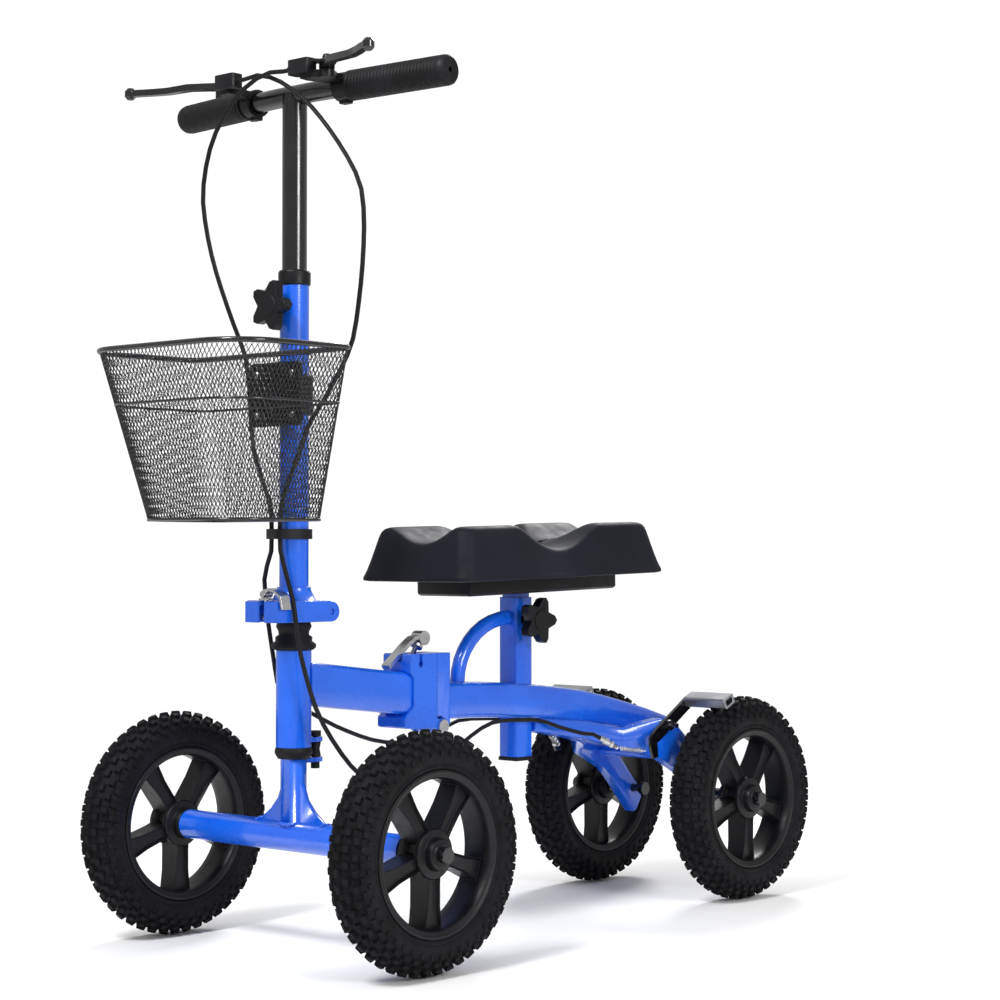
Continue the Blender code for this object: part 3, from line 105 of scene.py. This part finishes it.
class Nodes:
    """A material's node tree, with short calls for what every finish here uses."""

    def __init__(self, name):
        self.material = bpy.data.materials.new(name)
        self.material.use_nodes = True
        self.tree = self.material.node_tree
        self.shader = self.tree.nodes["Principled BSDF"]
        self.place = self.tree.nodes.new("ShaderNodeTexCoord").outputs["Object"]

    def link(self, start, end):
        self.tree.links.new(start, end)

    def set(self, **values):
        for name, value in values.items():
            self.shader.inputs[name.replace("_", " ")].default_value = value

    def noise(self, scale, detail=4.0, stretch=(1, 1, 1)):
        """A noise value over the object, optionally stretched along an axis."""
        mapping = self.tree.nodes.new("ShaderNodeMapping")
        mapping.inputs["Scale"].default_value = stretch
        texture = self.tree.nodes.new("ShaderNodeTexNoise")
        texture.inputs["Scale"].default_value = scale
        texture.inputs["Detail"].default_value = detail
        self.link(self.place, mapping.inputs["Vector"])
        self.link(mapping.outputs["Vector"], texture.inputs["Vector"])
        return texture.outputs["Fac"]

    def cells(self, scale):
        """The distance to the nearest of scattered points, for leather and moulded grain."""
        texture = self.tree.nodes.new("ShaderNodeTexVoronoi")
        texture.inputs["Scale"].default_value = scale
        self.link(self.place, texture.inputs["Vector"])
        return texture.outputs["Distance"]

    def spread(self, value, low, high, socket):
        """Drives a shader input from low to high with a value."""
        spread = self.tree.nodes.new("ShaderNodeMapRange")
        spread.inputs["From Min"].default_value = 0.3
        spread.inputs["From Max"].default_value = 0.7
        spread.inputs["To Min"].default_value = low
        spread.inputs["To Max"].default_value = high
        self.link(value, spread.inputs["Value"])
        self.link(spread.outputs["Result"], self.shader.inputs[socket])

    def tint(self, value, dark, light):
        """Colours the surface between two shades with a value."""
        ramp = self.tree.nodes.new("ShaderNodeValToRGB")
        ramp.color_ramp.elements[0].position = 0.35
        ramp.color_ramp.elements[0].color = (*dark, 1.0)
        ramp.color_ramp.elements[1].position = 0.65
        ramp.color_ramp.elements[1].color = (*light, 1.0)
        self.link(value, ramp.inputs["Fac"])
        self.link(ramp.outputs["Color"], self.shader.inputs["Base Color"])

    def bump(self, value, strength, depth, edge=0.0):
        """Raises the surface with a value; edge is how far the corners look rounded."""
        bump = self.tree.nodes.new("ShaderNodeBump")
        if edge:
            rounding = self.tree.nodes.new("ShaderNodeBevel")
            rounding.inputs["Radius"].default_value = edge
            self.link(rounding.outputs["Normal"], bump.inputs["Normal"])
        bump.inputs["Strength"].default_value = strength
        bump.inputs["Distance"].default_value = depth
        self.link(value, bump.inputs["Height"])
        self.link(bump.outputs["Normal"], self.shader.inputs["Normal"])


def blue_paint():
    """Glossy powder coat, with a faint orange peel."""
    made = Nodes("blue_paint")
    made.tint(made.noise(9.0), (0.004, 0.105, 0.720), (0.007, 0.140, 0.850))
    made.spread(made.noise(60.0), 0.20, 0.32, "Roughness")
    made.bump(made.noise(420.0, 2.0), 0.10, 0.0004, edge=0.0022)
    made.set(Coat_Weight=0.7, Coat_Roughness=0.06)
    return made.material


def black_paint():
    """Gloss black paint on steel."""
    made = Nodes("black_paint")
    made.tint(made.noise(12.0), (0.002, 0.002, 0.003), (0.005, 0.005, 0.007))
    made.spread(made.noise(70.0), 0.16, 0.28, "Roughness")
    made.bump(made.noise(500.0, 2.0), 0.08, 0.0003)
    made.set(Coat_Weight=0.5, Coat_Roughness=0.10)
    return made.material


def black_plastic():
    """Moulded plastic with a fine spark-eroded grain."""
    made = Nodes("black_plastic")
    made.tint(made.noise(15.0), (0.003, 0.003, 0.004), (0.007, 0.007, 0.009))
    made.spread(made.noise(120.0), 0.34, 0.48, "Roughness")
    made.bump(made.noise(1500.0, 3.0), 0.18, 0.0003, edge=0.0008)
    made.set(Specular_IOR_Level=0.28)
    return made.material


def pad_skin():
    """Satin skin of the moulded pad, with a leather-like grain."""
    made = Nodes("pad_skin")
    made.tint(made.noise(10.0), (0.006, 0.007, 0.012), (0.010, 0.011, 0.018))
    made.spread(made.noise(50.0), 0.54, 0.66, "Roughness")
    made.bump(made.cells(900.0), 0.15, 0.0004)
    made.set(Specular_IOR_Level=0.18)
    return made.material


def tyre_rubber():
    """Matt tyre rubber, greyer where it is dusty."""
    made = Nodes("tyre_rubber")
    made.tint(made.noise(28.0), (0.002, 0.002, 0.003), (0.006, 0.006, 0.008))
    made.spread(made.noise(90.0), 0.62, 0.85, "Roughness")
    made.bump(made.noise(1200.0, 4.0), 0.30, 0.0004)
    made.set(Specular_IOR_Level=0.20)
    return made.material


def soft_rubber():
    """Smooth black rubber of the grips, boots and cable sleeves."""
    made = Nodes("soft_rubber")
    made.tint(made.noise(25.0), (0.003, 0.003, 0.004), (0.008, 0.008, 0.010))
    made.spread(made.noise(140.0), 0.48, 0.64, "Roughness")
    made.bump(made.noise(1800.0, 3.0), 0.22, 0.0003)
    made.set(Specular_IOR_Level=0.25)
    return made.material


def silver():
    """Plated steel, brushed along its length."""
    made = Nodes("silver")
    made.set(Metallic=1.0)
    made.tint(made.noise(30.0), (0.52, 0.52, 0.53), (0.74, 0.74, 0.75))
    made.spread(made.noise(300.0, 3.0, (0.15, 1, 1)), 0.18, 0.36, "Roughness")
    made.bump(made.noise(900.0, 2.0, (0.1, 1, 1)), 0.12, 0.0003)
    return made.material


def aluminium():
    """Extruded aluminium, with fine drawing lines."""
    made = Nodes("aluminium")
    made.set(Metallic=1.0)
    made.tint(made.noise(25.0), (0.36, 0.37, 0.39), (0.50, 0.51, 0.53))
    made.spread(made.noise(250.0, 3.0, (1, 0.08, 1)), 0.28, 0.42, "Roughness")
    made.bump(made.noise(1100.0, 2.0, (1, 0.05, 1)), 0.15, 0.0003)
    return made.material


FINISHES = {
    "blue_paint": blue_paint(),
    "black_paint": black_paint(),
    "black_plastic": black_plastic(),
    "pad_skin": pad_skin(),
    "tyre_rubber": tyre_rubber(),
    "soft_rubber": soft_rubber(),
    "silver": silver(),
    "aluminium": aluminium(),
}
SLOTS = {part["node"]: part["material_slot"] for part in frame["record"]["subparts"]}
BODIES = {node: body for body, nodes in frame["record"]["behaviour"]["bodies"].items() for node in nodes}


# --- Pieces ---------------------------------------------------------------------------------------


def middle(node):
    low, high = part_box(node)
    return (low + high) / 2


def finished(bm, name):
    """An object from a bmesh, with its faces turned outwards and its round faces smooth."""
    bmesh.ops.recalc_face_normals(bm, faces=bm.faces)
    mesh = bpy.data.meshes.new(name)
    bm.to_mesh(mesh)
    bm.free()
    mesh.shade_smooth()
    mesh.set_sharp_from_angle(angle=math.radians(40))
    piece = bpy.data.objects.new(name, mesh)
    bpy.context.scene.collection.objects.link(piece)
    return piece


def dress(piece, slot, body, *nodes):
    """Gives a piece its finish and its body, and hides the CAD nodes that it stands for."""
    piece.data.materials.clear()
    piece.data.materials.append(FINISHES[slot])
    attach(piece, body)
    if nodes:
        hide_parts(*nodes)


def bevel(piece, width):
    """Rounds a piece's sharp edges, so that they catch the light."""
    modifier = piece.modifiers.new("bevel", "BEVEL")
    modifier.width = width
    modifier.segments = 2
    modifier.limit_method = "ANGLE"
    modifier.angle_limit = math.radians(40)
    modifier.use_clamp_overlap = True
    modifier.harden_normals = True


def refined(node, width):
    """A CAD node's own shape, welded, smooth where it is round and with its edges broken."""
    bm = bmesh.new()
    bm.from_mesh(NODES[node].data)
    bmesh.ops.remove_doubles(bm, verts=bm.verts, dist=0.00002)
    bmesh.ops.dissolve_limit(bm, angle_limit=math.radians(0.5), verts=bm.verts, edges=bm.edges)
    piece = finished(bm, node + "_refined")
    if width:
        bevel(piece, width)
    finish = "black_paint" if node in AXLES else SLOTS[node]
    dress(piece, finish, BODIES[node], node)


def lathe(bm, outline, sides, centre, axis, closed=True):
    """Turns (radius, distance along the axis) points about an axis; closed joins the last to the first."""
    turn = Vector(axis).to_track_quat("Z", "Y").to_matrix()
    rows = []
    for radius, along in outline:
        angles = [TAU * k / sides for k in range(sides)]
        spots = [Vector((radius * math.cos(a), radius * math.sin(a), along)) for a in angles]
        rows.append([bm.verts.new(Vector(centre) + turn @ spot) for spot in spots])
    pairs = list(zip(rows, rows[1:]))
    if closed:
        pairs.append((rows[-1], rows[0]))
    for low, high in pairs:
        for k in range(sides):
            bm.faces.new((low[k - 1], low[k], high[k], high[k - 1]))
    return rows


def wire(name, points, radius, closed=False, sides=3):
    """A round wire along points, as a curve."""
    curve = bpy.data.curves.new(name, "CURVE")
    curve.dimensions = "3D"
    curve.bevel_depth = radius
    curve.bevel_resolution = sides
    curve.use_fill_caps = True
    spline = curve.splines.new("POLY")
    spline.points.add(len(points) - 1)
    spline.use_cyclic_u = closed
    for point, spot in zip(spline.points, points):
        point.co = (*spot, 1.0)
    piece = bpy.data.objects.new(name, curve)
    bpy.context.scene.collection.objects.link(piece)
    return piece


# --- Wheels ---------------------------------------------------------------------------------------


def tread_block(bm, frame_at, half_along, half_across, height):
    """One tapered block standing on the carcass; frame_at gives its place, with local Z outwards."""
    corners = ((-1, -1), (1, -1), (1, 1), (-1, 1))
    foot = [bm.verts.new(frame_at @ Vector((a * half_along, b * half_across, -0.0015))) for a, b in corners]
    draft = 0.72
    half_along *= draft
    half_across *= draft
    top = [bm.verts.new(frame_at @ Vector((a * half_along, b * half_across, height))) for a, b in corners]
    bm.faces.new(top)
    for k in range(4):
        bm.faces.new((foot[k - 1], foot[k], top[k], top[k - 1]))


def tyre(node):
    """A knobbly tyre: a round carcass with bead ridges, and staggered blocks over its shoulders."""
    centre = middle(node)
    low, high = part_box(node)
    crown = (high.z - low.z) / 2 - BLOCK_HEIGHT
    section = crown - CARCASS_RISE
    bm = bmesh.new()
    bead = [(0.0940, 0.0220), (0.0925, 0.0206), (0.0900, 0.0212), (0.0873, 0.0195), (0.0873, 0.0150)]
    outline = [(radius, -across) for radius, across in reversed(bead)]
    for k in range(-9, 10):
        angle = math.radians(11.0 * k)
        outline.append((section + CARCASS_RISE * math.cos(angle), CARCASS_HALF * math.sin(angle)))
    outline += bead
    lathe(bm, outline, 96, centre, (0, 1, 0))
    # Each row: angle down the shoulder, shift in pitches, half length, half width and height.
    rows = [(0, 0.0, 0.0052, 0.0036, BLOCK_HEIGHT)]
    for side in (-1, 1):
        rows.append((side * 24, 0.5, 0.0048, 0.0036, 0.0042))
        rows.append((side * 46, 0.0, 0.0046, 0.0034, 0.0040))
        rows.append((side * 66, 0.5, 0.0040, 0.0032, 0.0034))
        rows.append((side * 86, 0.0, 0.0028, 0.0034, 0.0016))
    for down, shift, half_along, half_across, height in rows:
        lean = math.radians(down)
        for k in range(TREAD_PITCHES):
            about = Matrix.Rotation(TAU * (k + shift) / TREAD_PITCHES, 4, "Y")
            tip = Matrix.Rotation(-lean, 4, "X")
            out = section + CARCASS_RISE * math.cos(lean)
            across = CARCASS_HALF * math.sin(lean)
            place = Matrix.Translation(centre) @ about @ Matrix.Translation((0, across, out)) @ tip
            tread_block(bm, place, half_along, half_across, height)
    piece = finished(bm, node + "_knobbly")
    dress(piece, "tyre_rubber", BODIES[node], node)


def spoke(bm, centre, angle):
    """One spoke: a broad arm, wider at the rim, with a recess in each face that leaves raised edges."""
    outline = [(0.0150, 0.0085), (0.0300, 0.0078), (0.0550, 0.0088), (0.0785, 0.0125)]
    outline += [(along, -half) for along, half in reversed(outline)]
    turn = Matrix.Translation(centre) @ Matrix.Rotation(angle, 4, "Y")
    for side in (-1, 1):
        near = [bm.verts.new(turn @ Vector((a, 0, b))) for a, b in outline]
        front = []
        for a, b in outline:
            across = side * (SPOKE_DEPTH - SPOKE_THINNING * a)
            front.append(bm.verts.new(turn @ Vector((a, across, b))))
        face = bm.faces.new(front)
        for k in range(len(outline)):
            bm.faces.new((near[k - 1], near[k], front[k], front[k - 1]))
        bmesh.ops.recalc_face_normals(bm, faces=[face])
        bmesh.ops.inset_region(bm, faces=[face], thickness=0.0026, depth=0.0)
        inward = turn.to_3x3() @ Vector((0, -side * 0.0050, 0))
        for vert in face.verts:
            vert.co += inward


def both_ways(half):
    """A turned outline from its outer half, which is the same on both sides."""
    return [(radius, -across) for radius, across in half] + half[::-1]


def rim(node):
    """A moulded wheel: a deep barrel with a rolled lip, five spokes and a stepped hub."""
    centre = middle(node)
    bm = bmesh.new()
    half = [(0.0870, 0.0195), (0.0862, 0.0208), (0.0840, 0.0212), (0.0825, 0.0200), (0.0790, 0.0192)]
    half += [(0.0775, 0.0170), (0.0765, 0.0080)]
    lathe(bm, both_ways(half), 96, centre, (0, 1, 0))
    half = [(0.0053, 0.0258), (0.0115, 0.0258), (0.0120, 0.0245), (0.0158, 0.0240), (0.0165, 0.0225)]
    half += [(0.0175, 0.0160), (0.0250, 0.0150), (0.0262, 0.0135), (0.0262, 0.0090), (0.0200, 0.0070)]
    lathe(bm, both_ways(half), 48, centre, (0, 1, 0))
    for k in range(SPOKE_COUNT):
        spoke(bm, centre, math.radians(FIRST_SPOKE) + TAU * k / SPOKE_COUNT)
    piece = finished(bm, node + "_moulded")
    bevel(piece, 0.0006)
    dress(piece, "black_plastic", BODIES[node], node)


def make_wheels():
    for place in ("front_left", "front_right", "rear_left", "rear_right"):
        tyre("tyre_" + place)
        rim("rim_" + place)


# --- Knee pad -------------------------------------------------------------------------------------


def pad_hollow(x, y):
    """How far the pad's top is below its crown: a dip across the middle and a channel along it."""
    depths = []
    for value, (depth, half) in ((x, PAD_DIP), (y, PAD_CHANNEL)):
        share = min(abs(value) / half, 1.0)
        depths.append(depth * (1 - share * share) ** 1.25)
    return (depths[0] ** 3 + depths[1] ** 3) ** (1 / 3)


def pad_outline(half_long, half_wide, corner):
    """Points round a rectangle with round corners, close enough together to be shaped."""
    steps = 8
    points = []
    for sign_x, sign_y, start in ((1, 1, 0), (-1, 1, 90), (-1, -1, 180), (1, -1, 270)):
        for k in range(steps + 1):
            angle = math.radians(start + 90 * k / steps)
            x = sign_x * (half_long - corner) + corner * math.cos(angle)
            y = sign_y * (half_wide - corner) + corner * math.sin(angle)
            points.append((x, y))
    filled = []
    for k, (x, y) in enumerate(points):
        filled.append((x, y))
        next_x, next_y = points[(k + 1) % len(points)]
        gap = math.hypot(next_x - x, next_y - y)
        extra = int(gap / 0.008)
        for j in range(1, extra + 1):
            share = j / (extra + 1)
            filled.append((x + (next_x - x) * share, y + (next_y - y) * share))
    return filled


def knee_pad():
    """The moulded pad: a lip at its foot, drafted sides, and a crown with a dip and a channel."""
    low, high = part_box("knee_pad")
    centre = (low + high) / 2
    half_long = (high.x - low.x) / 2
    half_wide = (high.y - low.y) / 2
    foot = centre.z + PAD_FOOT
    crown = centre.z + PAD_CROWN
    outline = pad_outline(half_long, half_wide, PAD_CORNER)

    def ring(shrink, level):
        """One loop: shrink pulls it in, level is its height from the foot (0) to the crown (1)."""
        spots = []
        for x, y in outline:
            nx = x * (1 - shrink / half_long)
            ny = y * (1 - shrink / half_wide)
            top = crown - pad_hollow(nx, ny)
            z = foot + (top - foot) * level - PAD_SLOPE * nx
            spots.append((centre.x + nx, centre.y + ny, z))
        return spots

    edge = 0.0215
    loops = [ring(0.0030, 0.0), ring(0.0, 0.01), ring(0.0, 0.10), ring(0.0022, 0.125)]
    loops += [ring(0.0105, 0.60), ring(0.0140, 0.84), ring(0.0170, 0.945), ring(edge, 0.99)]
    for k in range(1, 11):
        loops.append(ring(edge + (half_wide - edge - 0.002) * k / 10, 1.0))
    bm = bmesh.new()
    rows = [[bm.verts.new(spot) for spot in loop] for loop in loops]
    bm.faces.new(rows[0])
    bm.faces.new(rows[-1])
    for lower, upper in zip(rows, rows[1:]):
        for k in range(len(lower)):
            bm.faces.new((lower[k - 1], lower[k], upper[k], upper[k - 1]))
    piece = finished(bm, "knee_pad_moulded")
    smooth = piece.modifiers.new("smooth", "SUBSURF")
    smooth.levels = 1
    smooth.render_levels = 1
    dress(piece, "pad_skin", "seat", "knee_pad")


# --- Basket ---------------------------------------------------------------------------------------


def basket_loop(level, count=None):
    """Points round the basket at a level from 0, its floor, to 1, its rim; count spaces them evenly."""
    low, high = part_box("basket")
    front = high.x - TAPER_FRONT * (1 - level) - RIM_WIRE
    half = (high.y - low.y) / 2 - TAPER_SIDE * (1 - level) - RIM_WIRE
    back = low.x + RIM_WIRE
    z = low.z + RIM_WIRE + (high.z - low.z - 2 * RIM_WIRE) * level
    points = []
    front_x = front - FRONT_CORNER
    back_x = back + BACK_CORNER
    corners = [(front_x, 1, 0, FRONT_CORNER), (back_x, 1, 90, BACK_CORNER)]
    corners += [(back_x, -1, 180, BACK_CORNER), (front_x, -1, 270, FRONT_CORNER)]
    for corner_x, side, start, radius in corners:
        corner_y = side * (half - radius)
        for k in range(9):
            angle = math.radians(start + 90 * k / 8)
            points.append((corner_x + radius * math.cos(angle), corner_y + radius * math.sin(angle), z))
    return evened(points, count) if count else points


def evened(points, count):
    """The closed loop through points, resampled to count equal steps."""
    spots = [Vector(point) for point in points] + [Vector(points[0])]
    lengths = [(b - a).length for a, b in zip(spots, spots[1:])]
    step = sum(lengths) / count
    found = []
    passed = 0.0
    for a, b, length in zip(spots, spots[1:], lengths):
        while len(found) < count and passed + length >= step * len(found):
            share = (step * len(found) - passed) / length if length else 0.0
            found.append(tuple(a.lerp(b, share)))
        passed += length
    return found


def diamond_wall():
    """The basket's sides as expanded metal: a net of diamonds turned into wire."""
    bm = bmesh.new()
    rows = []
    for row in range(MESH_ROWS + 1):
        loop = basket_loop(row / MESH_ROWS, MESH_AROUND * 2)
        rows.append([bm.verts.new(loop[2 * k + row % 2]) for k in range(MESH_AROUND)])
    for row in range(MESH_ROWS - 1):
        for k in range(MESH_AROUND):
            side = row % 2
            left = rows[row + 1][k - 1 + side]
            right = rows[row + 1][(k + side) % MESH_AROUND]
            bm.faces.new((rows[row][k], right, rows[row + 2][k], left))
    return finished(bm, "basket_wall")


def inside(outline, x, y):
    """Whether a point lies within a convex outline that runs counter-clockwise."""
    for start, end in zip(outline, outline[1:] + outline[:1]):
        if (end - start).cross(Vector((x, y)) - start) < 0:
            return False
    return True


def diamond_floor():
    """The basket's floor as the same net, trimmed to the floor's outline."""
    loop = basket_loop(0)
    outline = [Vector(spot).to_2d() for spot in loop]
    low_x = min(x for x, _, _ in loop) + 0.002
    high_x = max(x for x, _, _ in loop) - 0.002
    half = max(y for _, y, _ in loop) - 0.002
    z = loop[0][2]
    columns = int((high_x - low_x) / MESH_CELL)
    across = int(2 * half / MESH_CELL)
    bm = bmesh.new()
    for i in range(columns + 1):
        for j in range(across + 1):
            x = low_x + (i + 0.5) * (high_x - low_x) / (columns + 1)
            y = -half + (j + 0.5) * 2 * half / (across + 1)
            dx = (high_x - low_x) / (columns + 1) / 2
            dy = half / (across + 1)
            corners = ((x - dx, y), (x, y - dy), (x + dx, y), (x, y + dy))
            if all(inside(outline, a, b) for a, b in corners):
                bm.faces.new([bm.verts.new((a, b, z)) for a, b in corners])
    bmesh.ops.remove_doubles(bm, verts=bm.verts, dist=0.0001)
    return finished(bm, "basket_floor")


def netted(piece):
    """Turns each face's edges into thin wire."""
    net = piece.modifiers.new("net", "WIREFRAME")
    net.thickness = MESH_WIRE
    net.use_even_offset = False
    dress(piece, "black_paint", "column")


def make_basket():
    """The wire basket: diamond mesh, a rim, a middle hoop and a floor hoop."""
    rim_hoop = wire("basket_rim", basket_loop(1), RIM_WIRE, closed=True)
    dress(rim_hoop, "black_paint", "column", "basket")
    dress(wire("basket_floor_hoop", basket_loop(0), 0.0018, closed=True), "black_paint", "column")
    dress(wire("basket_middle_hoop", basket_loop(HOOP_LEVEL), 0.0014, closed=True), "black_paint", "column")
    netted(diamond_wall())
    netted(diamond_floor())


# --- Hard pieces ----------------------------------------------------------------------------------

AXLES = ["front_axle", "rear_axle_left", "rear_axle_right"]
CASTINGS = ["front_hinge_casting", "rear_hinge_casting", "column_casting", "column_hinge_base"]
SHEETS = ["frame_latch_lever", "column_latch_lever", "brake_arm_left", "brake_arm_right"]
SHEETS += ["brake_lever_left", "brake_lever_right", "brake_bar_left", "brake_bar_right"]
SHEETS += ["seat_tube_cap", "brake_bracket"]
MOULDINGS = ["column_knob", "seat_knob", "seat_plate", "lever_mount_left", "lever_mount_right"]
MOULDINGS += ["basket_bracket", "cable_clip", "column_collar"]
REMADE = ("tyre_", "rim_", "grip_", "brake_spring_", "knee_pad", "basket")
# How far the edges of these pieces are broken; the others are round already and are only smoothed.
EDGE_WIDTHS = dict.fromkeys(CASTINGS, 0.0008)
EDGE_WIDTHS.update(dict.fromkeys(SHEETS, 0.0005))
EDGE_WIDTHS.update(dict.fromkeys(MOULDINGS, 0.0007))


def make_hard_pieces():
    """Every CAD node that isn't made afresh, in its own shape."""
    remade = {node for node in NODES if node.startswith(REMADE)} - {"basket_bracket"}
    for node in sorted(set(NODES) - remade):
        refined(node, EDGE_WIDTHS.get(node, 0.0))


# --- Grips, springs and fittings ------------------------------------------------------------------


def grip(side):
    """A rubber grip with a flange at its inner end and fine rings along it."""
    node = "grip_" + side
    low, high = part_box(node)
    sign = 1 if side == "left" else -1
    sweep = math.atan(BAR_SWEEP)
    rise = math.atan(BAR_RISE)
    along = Vector((-math.sin(sweep), sign * math.cos(sweep), math.sin(rise))).normalized()
    centre = (low + high) / 2
    length = (high.y - low.y - 2 * GRIP_R * math.sin(sweep)) / math.cos(sweep)
    start = centre - along * length / 2
    outline = [(0.0113, 0.0), (0.0163, 0.0), (GRIP_R, 0.0010), (GRIP_R, 0.0035), (0.0155, 0.0050)]
    step = (length - 0.0180) / GRIP_RINGS
    groove = 0.0162
    for k in range(GRIP_RINGS):
        at = 0.0060 + step * k
        outline += [(groove, at), (GRIP_R, at + 0.2 * step)]
        outline += [(GRIP_R, at + 0.75 * step), (groove, at + 0.9 * step)]
    outline += [(0.0164, length - 0.0110), (GRIP_R, length - 0.0070), (0.0158, length - 0.0025)]
    outline += [(0.0135, length), (0.0060, length), (0.0030, length - 0.0010), (0.0025, length - 0.0030)]
    outline.append((0.0113, length - 0.0031))
    bm = bmesh.new()
    lathe(bm, outline, 40, start, along)
    piece = finished(bm, node + "_ringed")
    dress(piece, "soft_rubber", BODIES[node], node)


def brake_spring(side):
    """A coil spring round a thin wire, which leans outwards from the adjuster to the brake arm."""
    node = "brake_spring_" + side
    low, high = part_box(node)
    sign = 1 if side == "left" else -1
    near = min(abs(low.y), abs(high.y)) + 0.0025
    far = max(abs(low.y), abs(high.y)) - 0.0010
    start = Vector((high.x - 0.0035, sign * near, high.z - 0.0033))
    end = Vector((low.x + 0.0010, sign * far, low.z + 0.0026))
    along = end - start
    turn = along.to_track_quat("Z", "Y").to_matrix()
    coil_length = along.length * 0.86
    coil_radius = 0.0026
    turns = 13
    steps = 14
    points = []
    for k in range(turns * steps + 1):
        angle = TAU * k / steps
        rise = coil_length * k / (turns * steps)
        spot = Vector((coil_radius * math.cos(angle), coil_radius * math.sin(angle), rise))
        points.append(start + turn @ spot)
    coil = wire(node + "_coil", points, 0.0005, sides=2)
    dress(coil, "silver", "rear_frame", node)
    dress(wire(node + "_wire", [start, end], 0.0008), "silver", "rear_frame")


def basket_screws():
    """Four domed screws that hold the basket to its bracket."""
    low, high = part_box("basket_bracket")
    places = [(side, z) for z in (low.z + 0.012, high.z - 0.012) for side in (-1, 1)]
    for number, (side, z) in enumerate(places):
        bm = bmesh.new()
        outline = [(0.0008, 0.0024), (0.0022, 0.0022), (0.0038, 0.0012), (0.0042, 0.0), (0.0008, 0.0)]
        lathe(bm, outline, 20, (high.x + 0.0002, side * 0.028, z), (1, 0, 0))
        piece = finished(bm, "basket_screw_%d" % number)
        dress(piece, "silver", "column")


def weld(name, centre, axis, radius, body, start=0.0, stop=360.0):
    """A weld bead: small overlapping ripples along an arc round an axis."""
    turn = Vector(axis).to_track_quat("Z", "Y").to_matrix()
    count = int(math.radians(abs(stop - start)) * radius / 0.0016)
    points = []
    for k in range(count + 1):
        angle = math.radians(start + (stop - start) * k / count)
        spot = Vector((radius * math.cos(angle), radius * math.sin(angle), 0))
        points.append(Vector(centre) + turn @ spot)
    bead = wire(name, points, 0.0019)
    for k, point in enumerate(bead.data.splines[0].points):
        point.radius = 1.0 + 0.22 * math.sin(k * 2.1)
    dress(bead, "blue_paint", body)


def make_welds():
    """Beads where the tubes of the frame are welded together."""
    axle = middle("front_axle")
    weld("steerer_weld", (axle.x, 0, axle.z + 0.0152), (0, 0, 1), 0.0150, "steering")
    for name, side in (("gusset_weld_right", -1), ("gusset_weld_left", 1)):
        weld(name, (axle.x, side * 0.0520, axle.z), (0, side, 0), 0.0168, "steering", 60, 120)


# --- Stage ----------------------------------------------------------------------------------------


def make_camera():
    camera = bpy.data.objects.new("camera", bpy.data.cameras.new("camera"))
    bpy.context.scene.collection.objects.link(camera)
    level = Vector((math.cos(CAMERA_YAW), math.sin(CAMERA_YAW), 0)) * math.cos(CAMERA_PITCH)
    look = level + Vector((0, 0, math.sin(CAMERA_PITCH)))
    camera.location = CAMERA_AT
    camera.rotation_euler = look.to_track_quat("-Z", "Y").to_euler()
    camera.data.lens = CAMERA_LENS
    camera.data.sensor_width = 36
    bpy.context.scene.camera = camera


def area_light(name, place, target, size, power):
    light = bpy.data.lights.new(name, "AREA")
    light.shape = "DISK"
    light.size = size
    light.energy = power
    lamp = bpy.data.objects.new(name, light)
    lamp.location = place
    lamp.rotation_euler = (Vector(target) - Vector(place)).to_track_quat("-Z", "Y").to_euler()
    bpy.context.scene.collection.objects.link(lamp)


def fade_out(floor_material, near, far):
    """Makes a floor turn clear with the distance from its middle, so that it has no edge."""
    tree = floor_material.tree
    length = tree.nodes.new("ShaderNodeVectorMath")
    length.operation = "LENGTH"
    tree.links.new(floor_material.place, length.inputs[0])
    strength = tree.nodes.new("ShaderNodeMapRange")
    strength.inputs["From Min"].default_value = near
    strength.inputs["From Max"].default_value = far
    strength.inputs["To Min"].default_value = 1.0
    strength.inputs["To Max"].default_value = 0.0
    tree.links.new(length.outputs["Value"], strength.inputs["Value"])
    tree.links.new(strength.outputs["Result"], floor_material.shader.inputs["Alpha"])


def make_stage():
    """A pale floor, soft lamps from above and both sides, and a bright surround."""
    floor_material = Nodes("studio_floor")
    floor_material.tint(floor_material.noise(0.8), (0.93, 0.93, 0.93), (0.96, 0.96, 0.96))
    floor_material.set(Roughness=0.85)
    fade_out(floor_material, 0.9, 2.0)
    bm = bmesh.new()
    bmesh.ops.create_grid(bm, x_segments=1, y_segments=1, size=14)
    floor = finished(bm, "studio_floor")
    floor.location.z = -0.0004
    floor.data.materials.append(floor_material.material)
    area_light("key", (2.4, 0.4, 2.8), (0.1, 0, 0.4), 0.9, 85)
    area_light("fill", (0.6, 3.0, 1.5), (0.0, 0, 0.4), 1.0, 42)
    area_light("back", (-2.4, -1.2, 2.4), (0, 0, 0.5), 1.0, 60)
    make_surround()


def make_surround():
    """A white surround that lights the object more softly than it shows behind it."""
    world = bpy.data.worlds.new("surround")
    world.use_nodes = True
    tree = world.node_tree
    background = tree.nodes["Background"]
    seen = tree.nodes.new("ShaderNodeLightPath").outputs["Is Camera Ray"]
    strength = tree.nodes.new("ShaderNodeMapRange")
    strength.inputs["To Min"].default_value = 0.50
    strength.inputs["To Max"].default_value = 1.05
    tree.links.new(seen, strength.inputs["Value"])
    tree.links.new(strength.outputs["Result"], background.inputs["Strength"])
    background.inputs["Color"].default_value = (1.0, 1.0, 1.0, 1.0)
    bpy.context.scene.world = world
    bpy.context.scene.view_settings.view_transform = "Standard"


make_camera()
make_stage()
make_hard_pieces()
make_wheels()
knee_pad()
make_basket()
grip("left")
grip("right")
brake_spring("left")
brake_spring("right")
basket_screws()
make_welds()
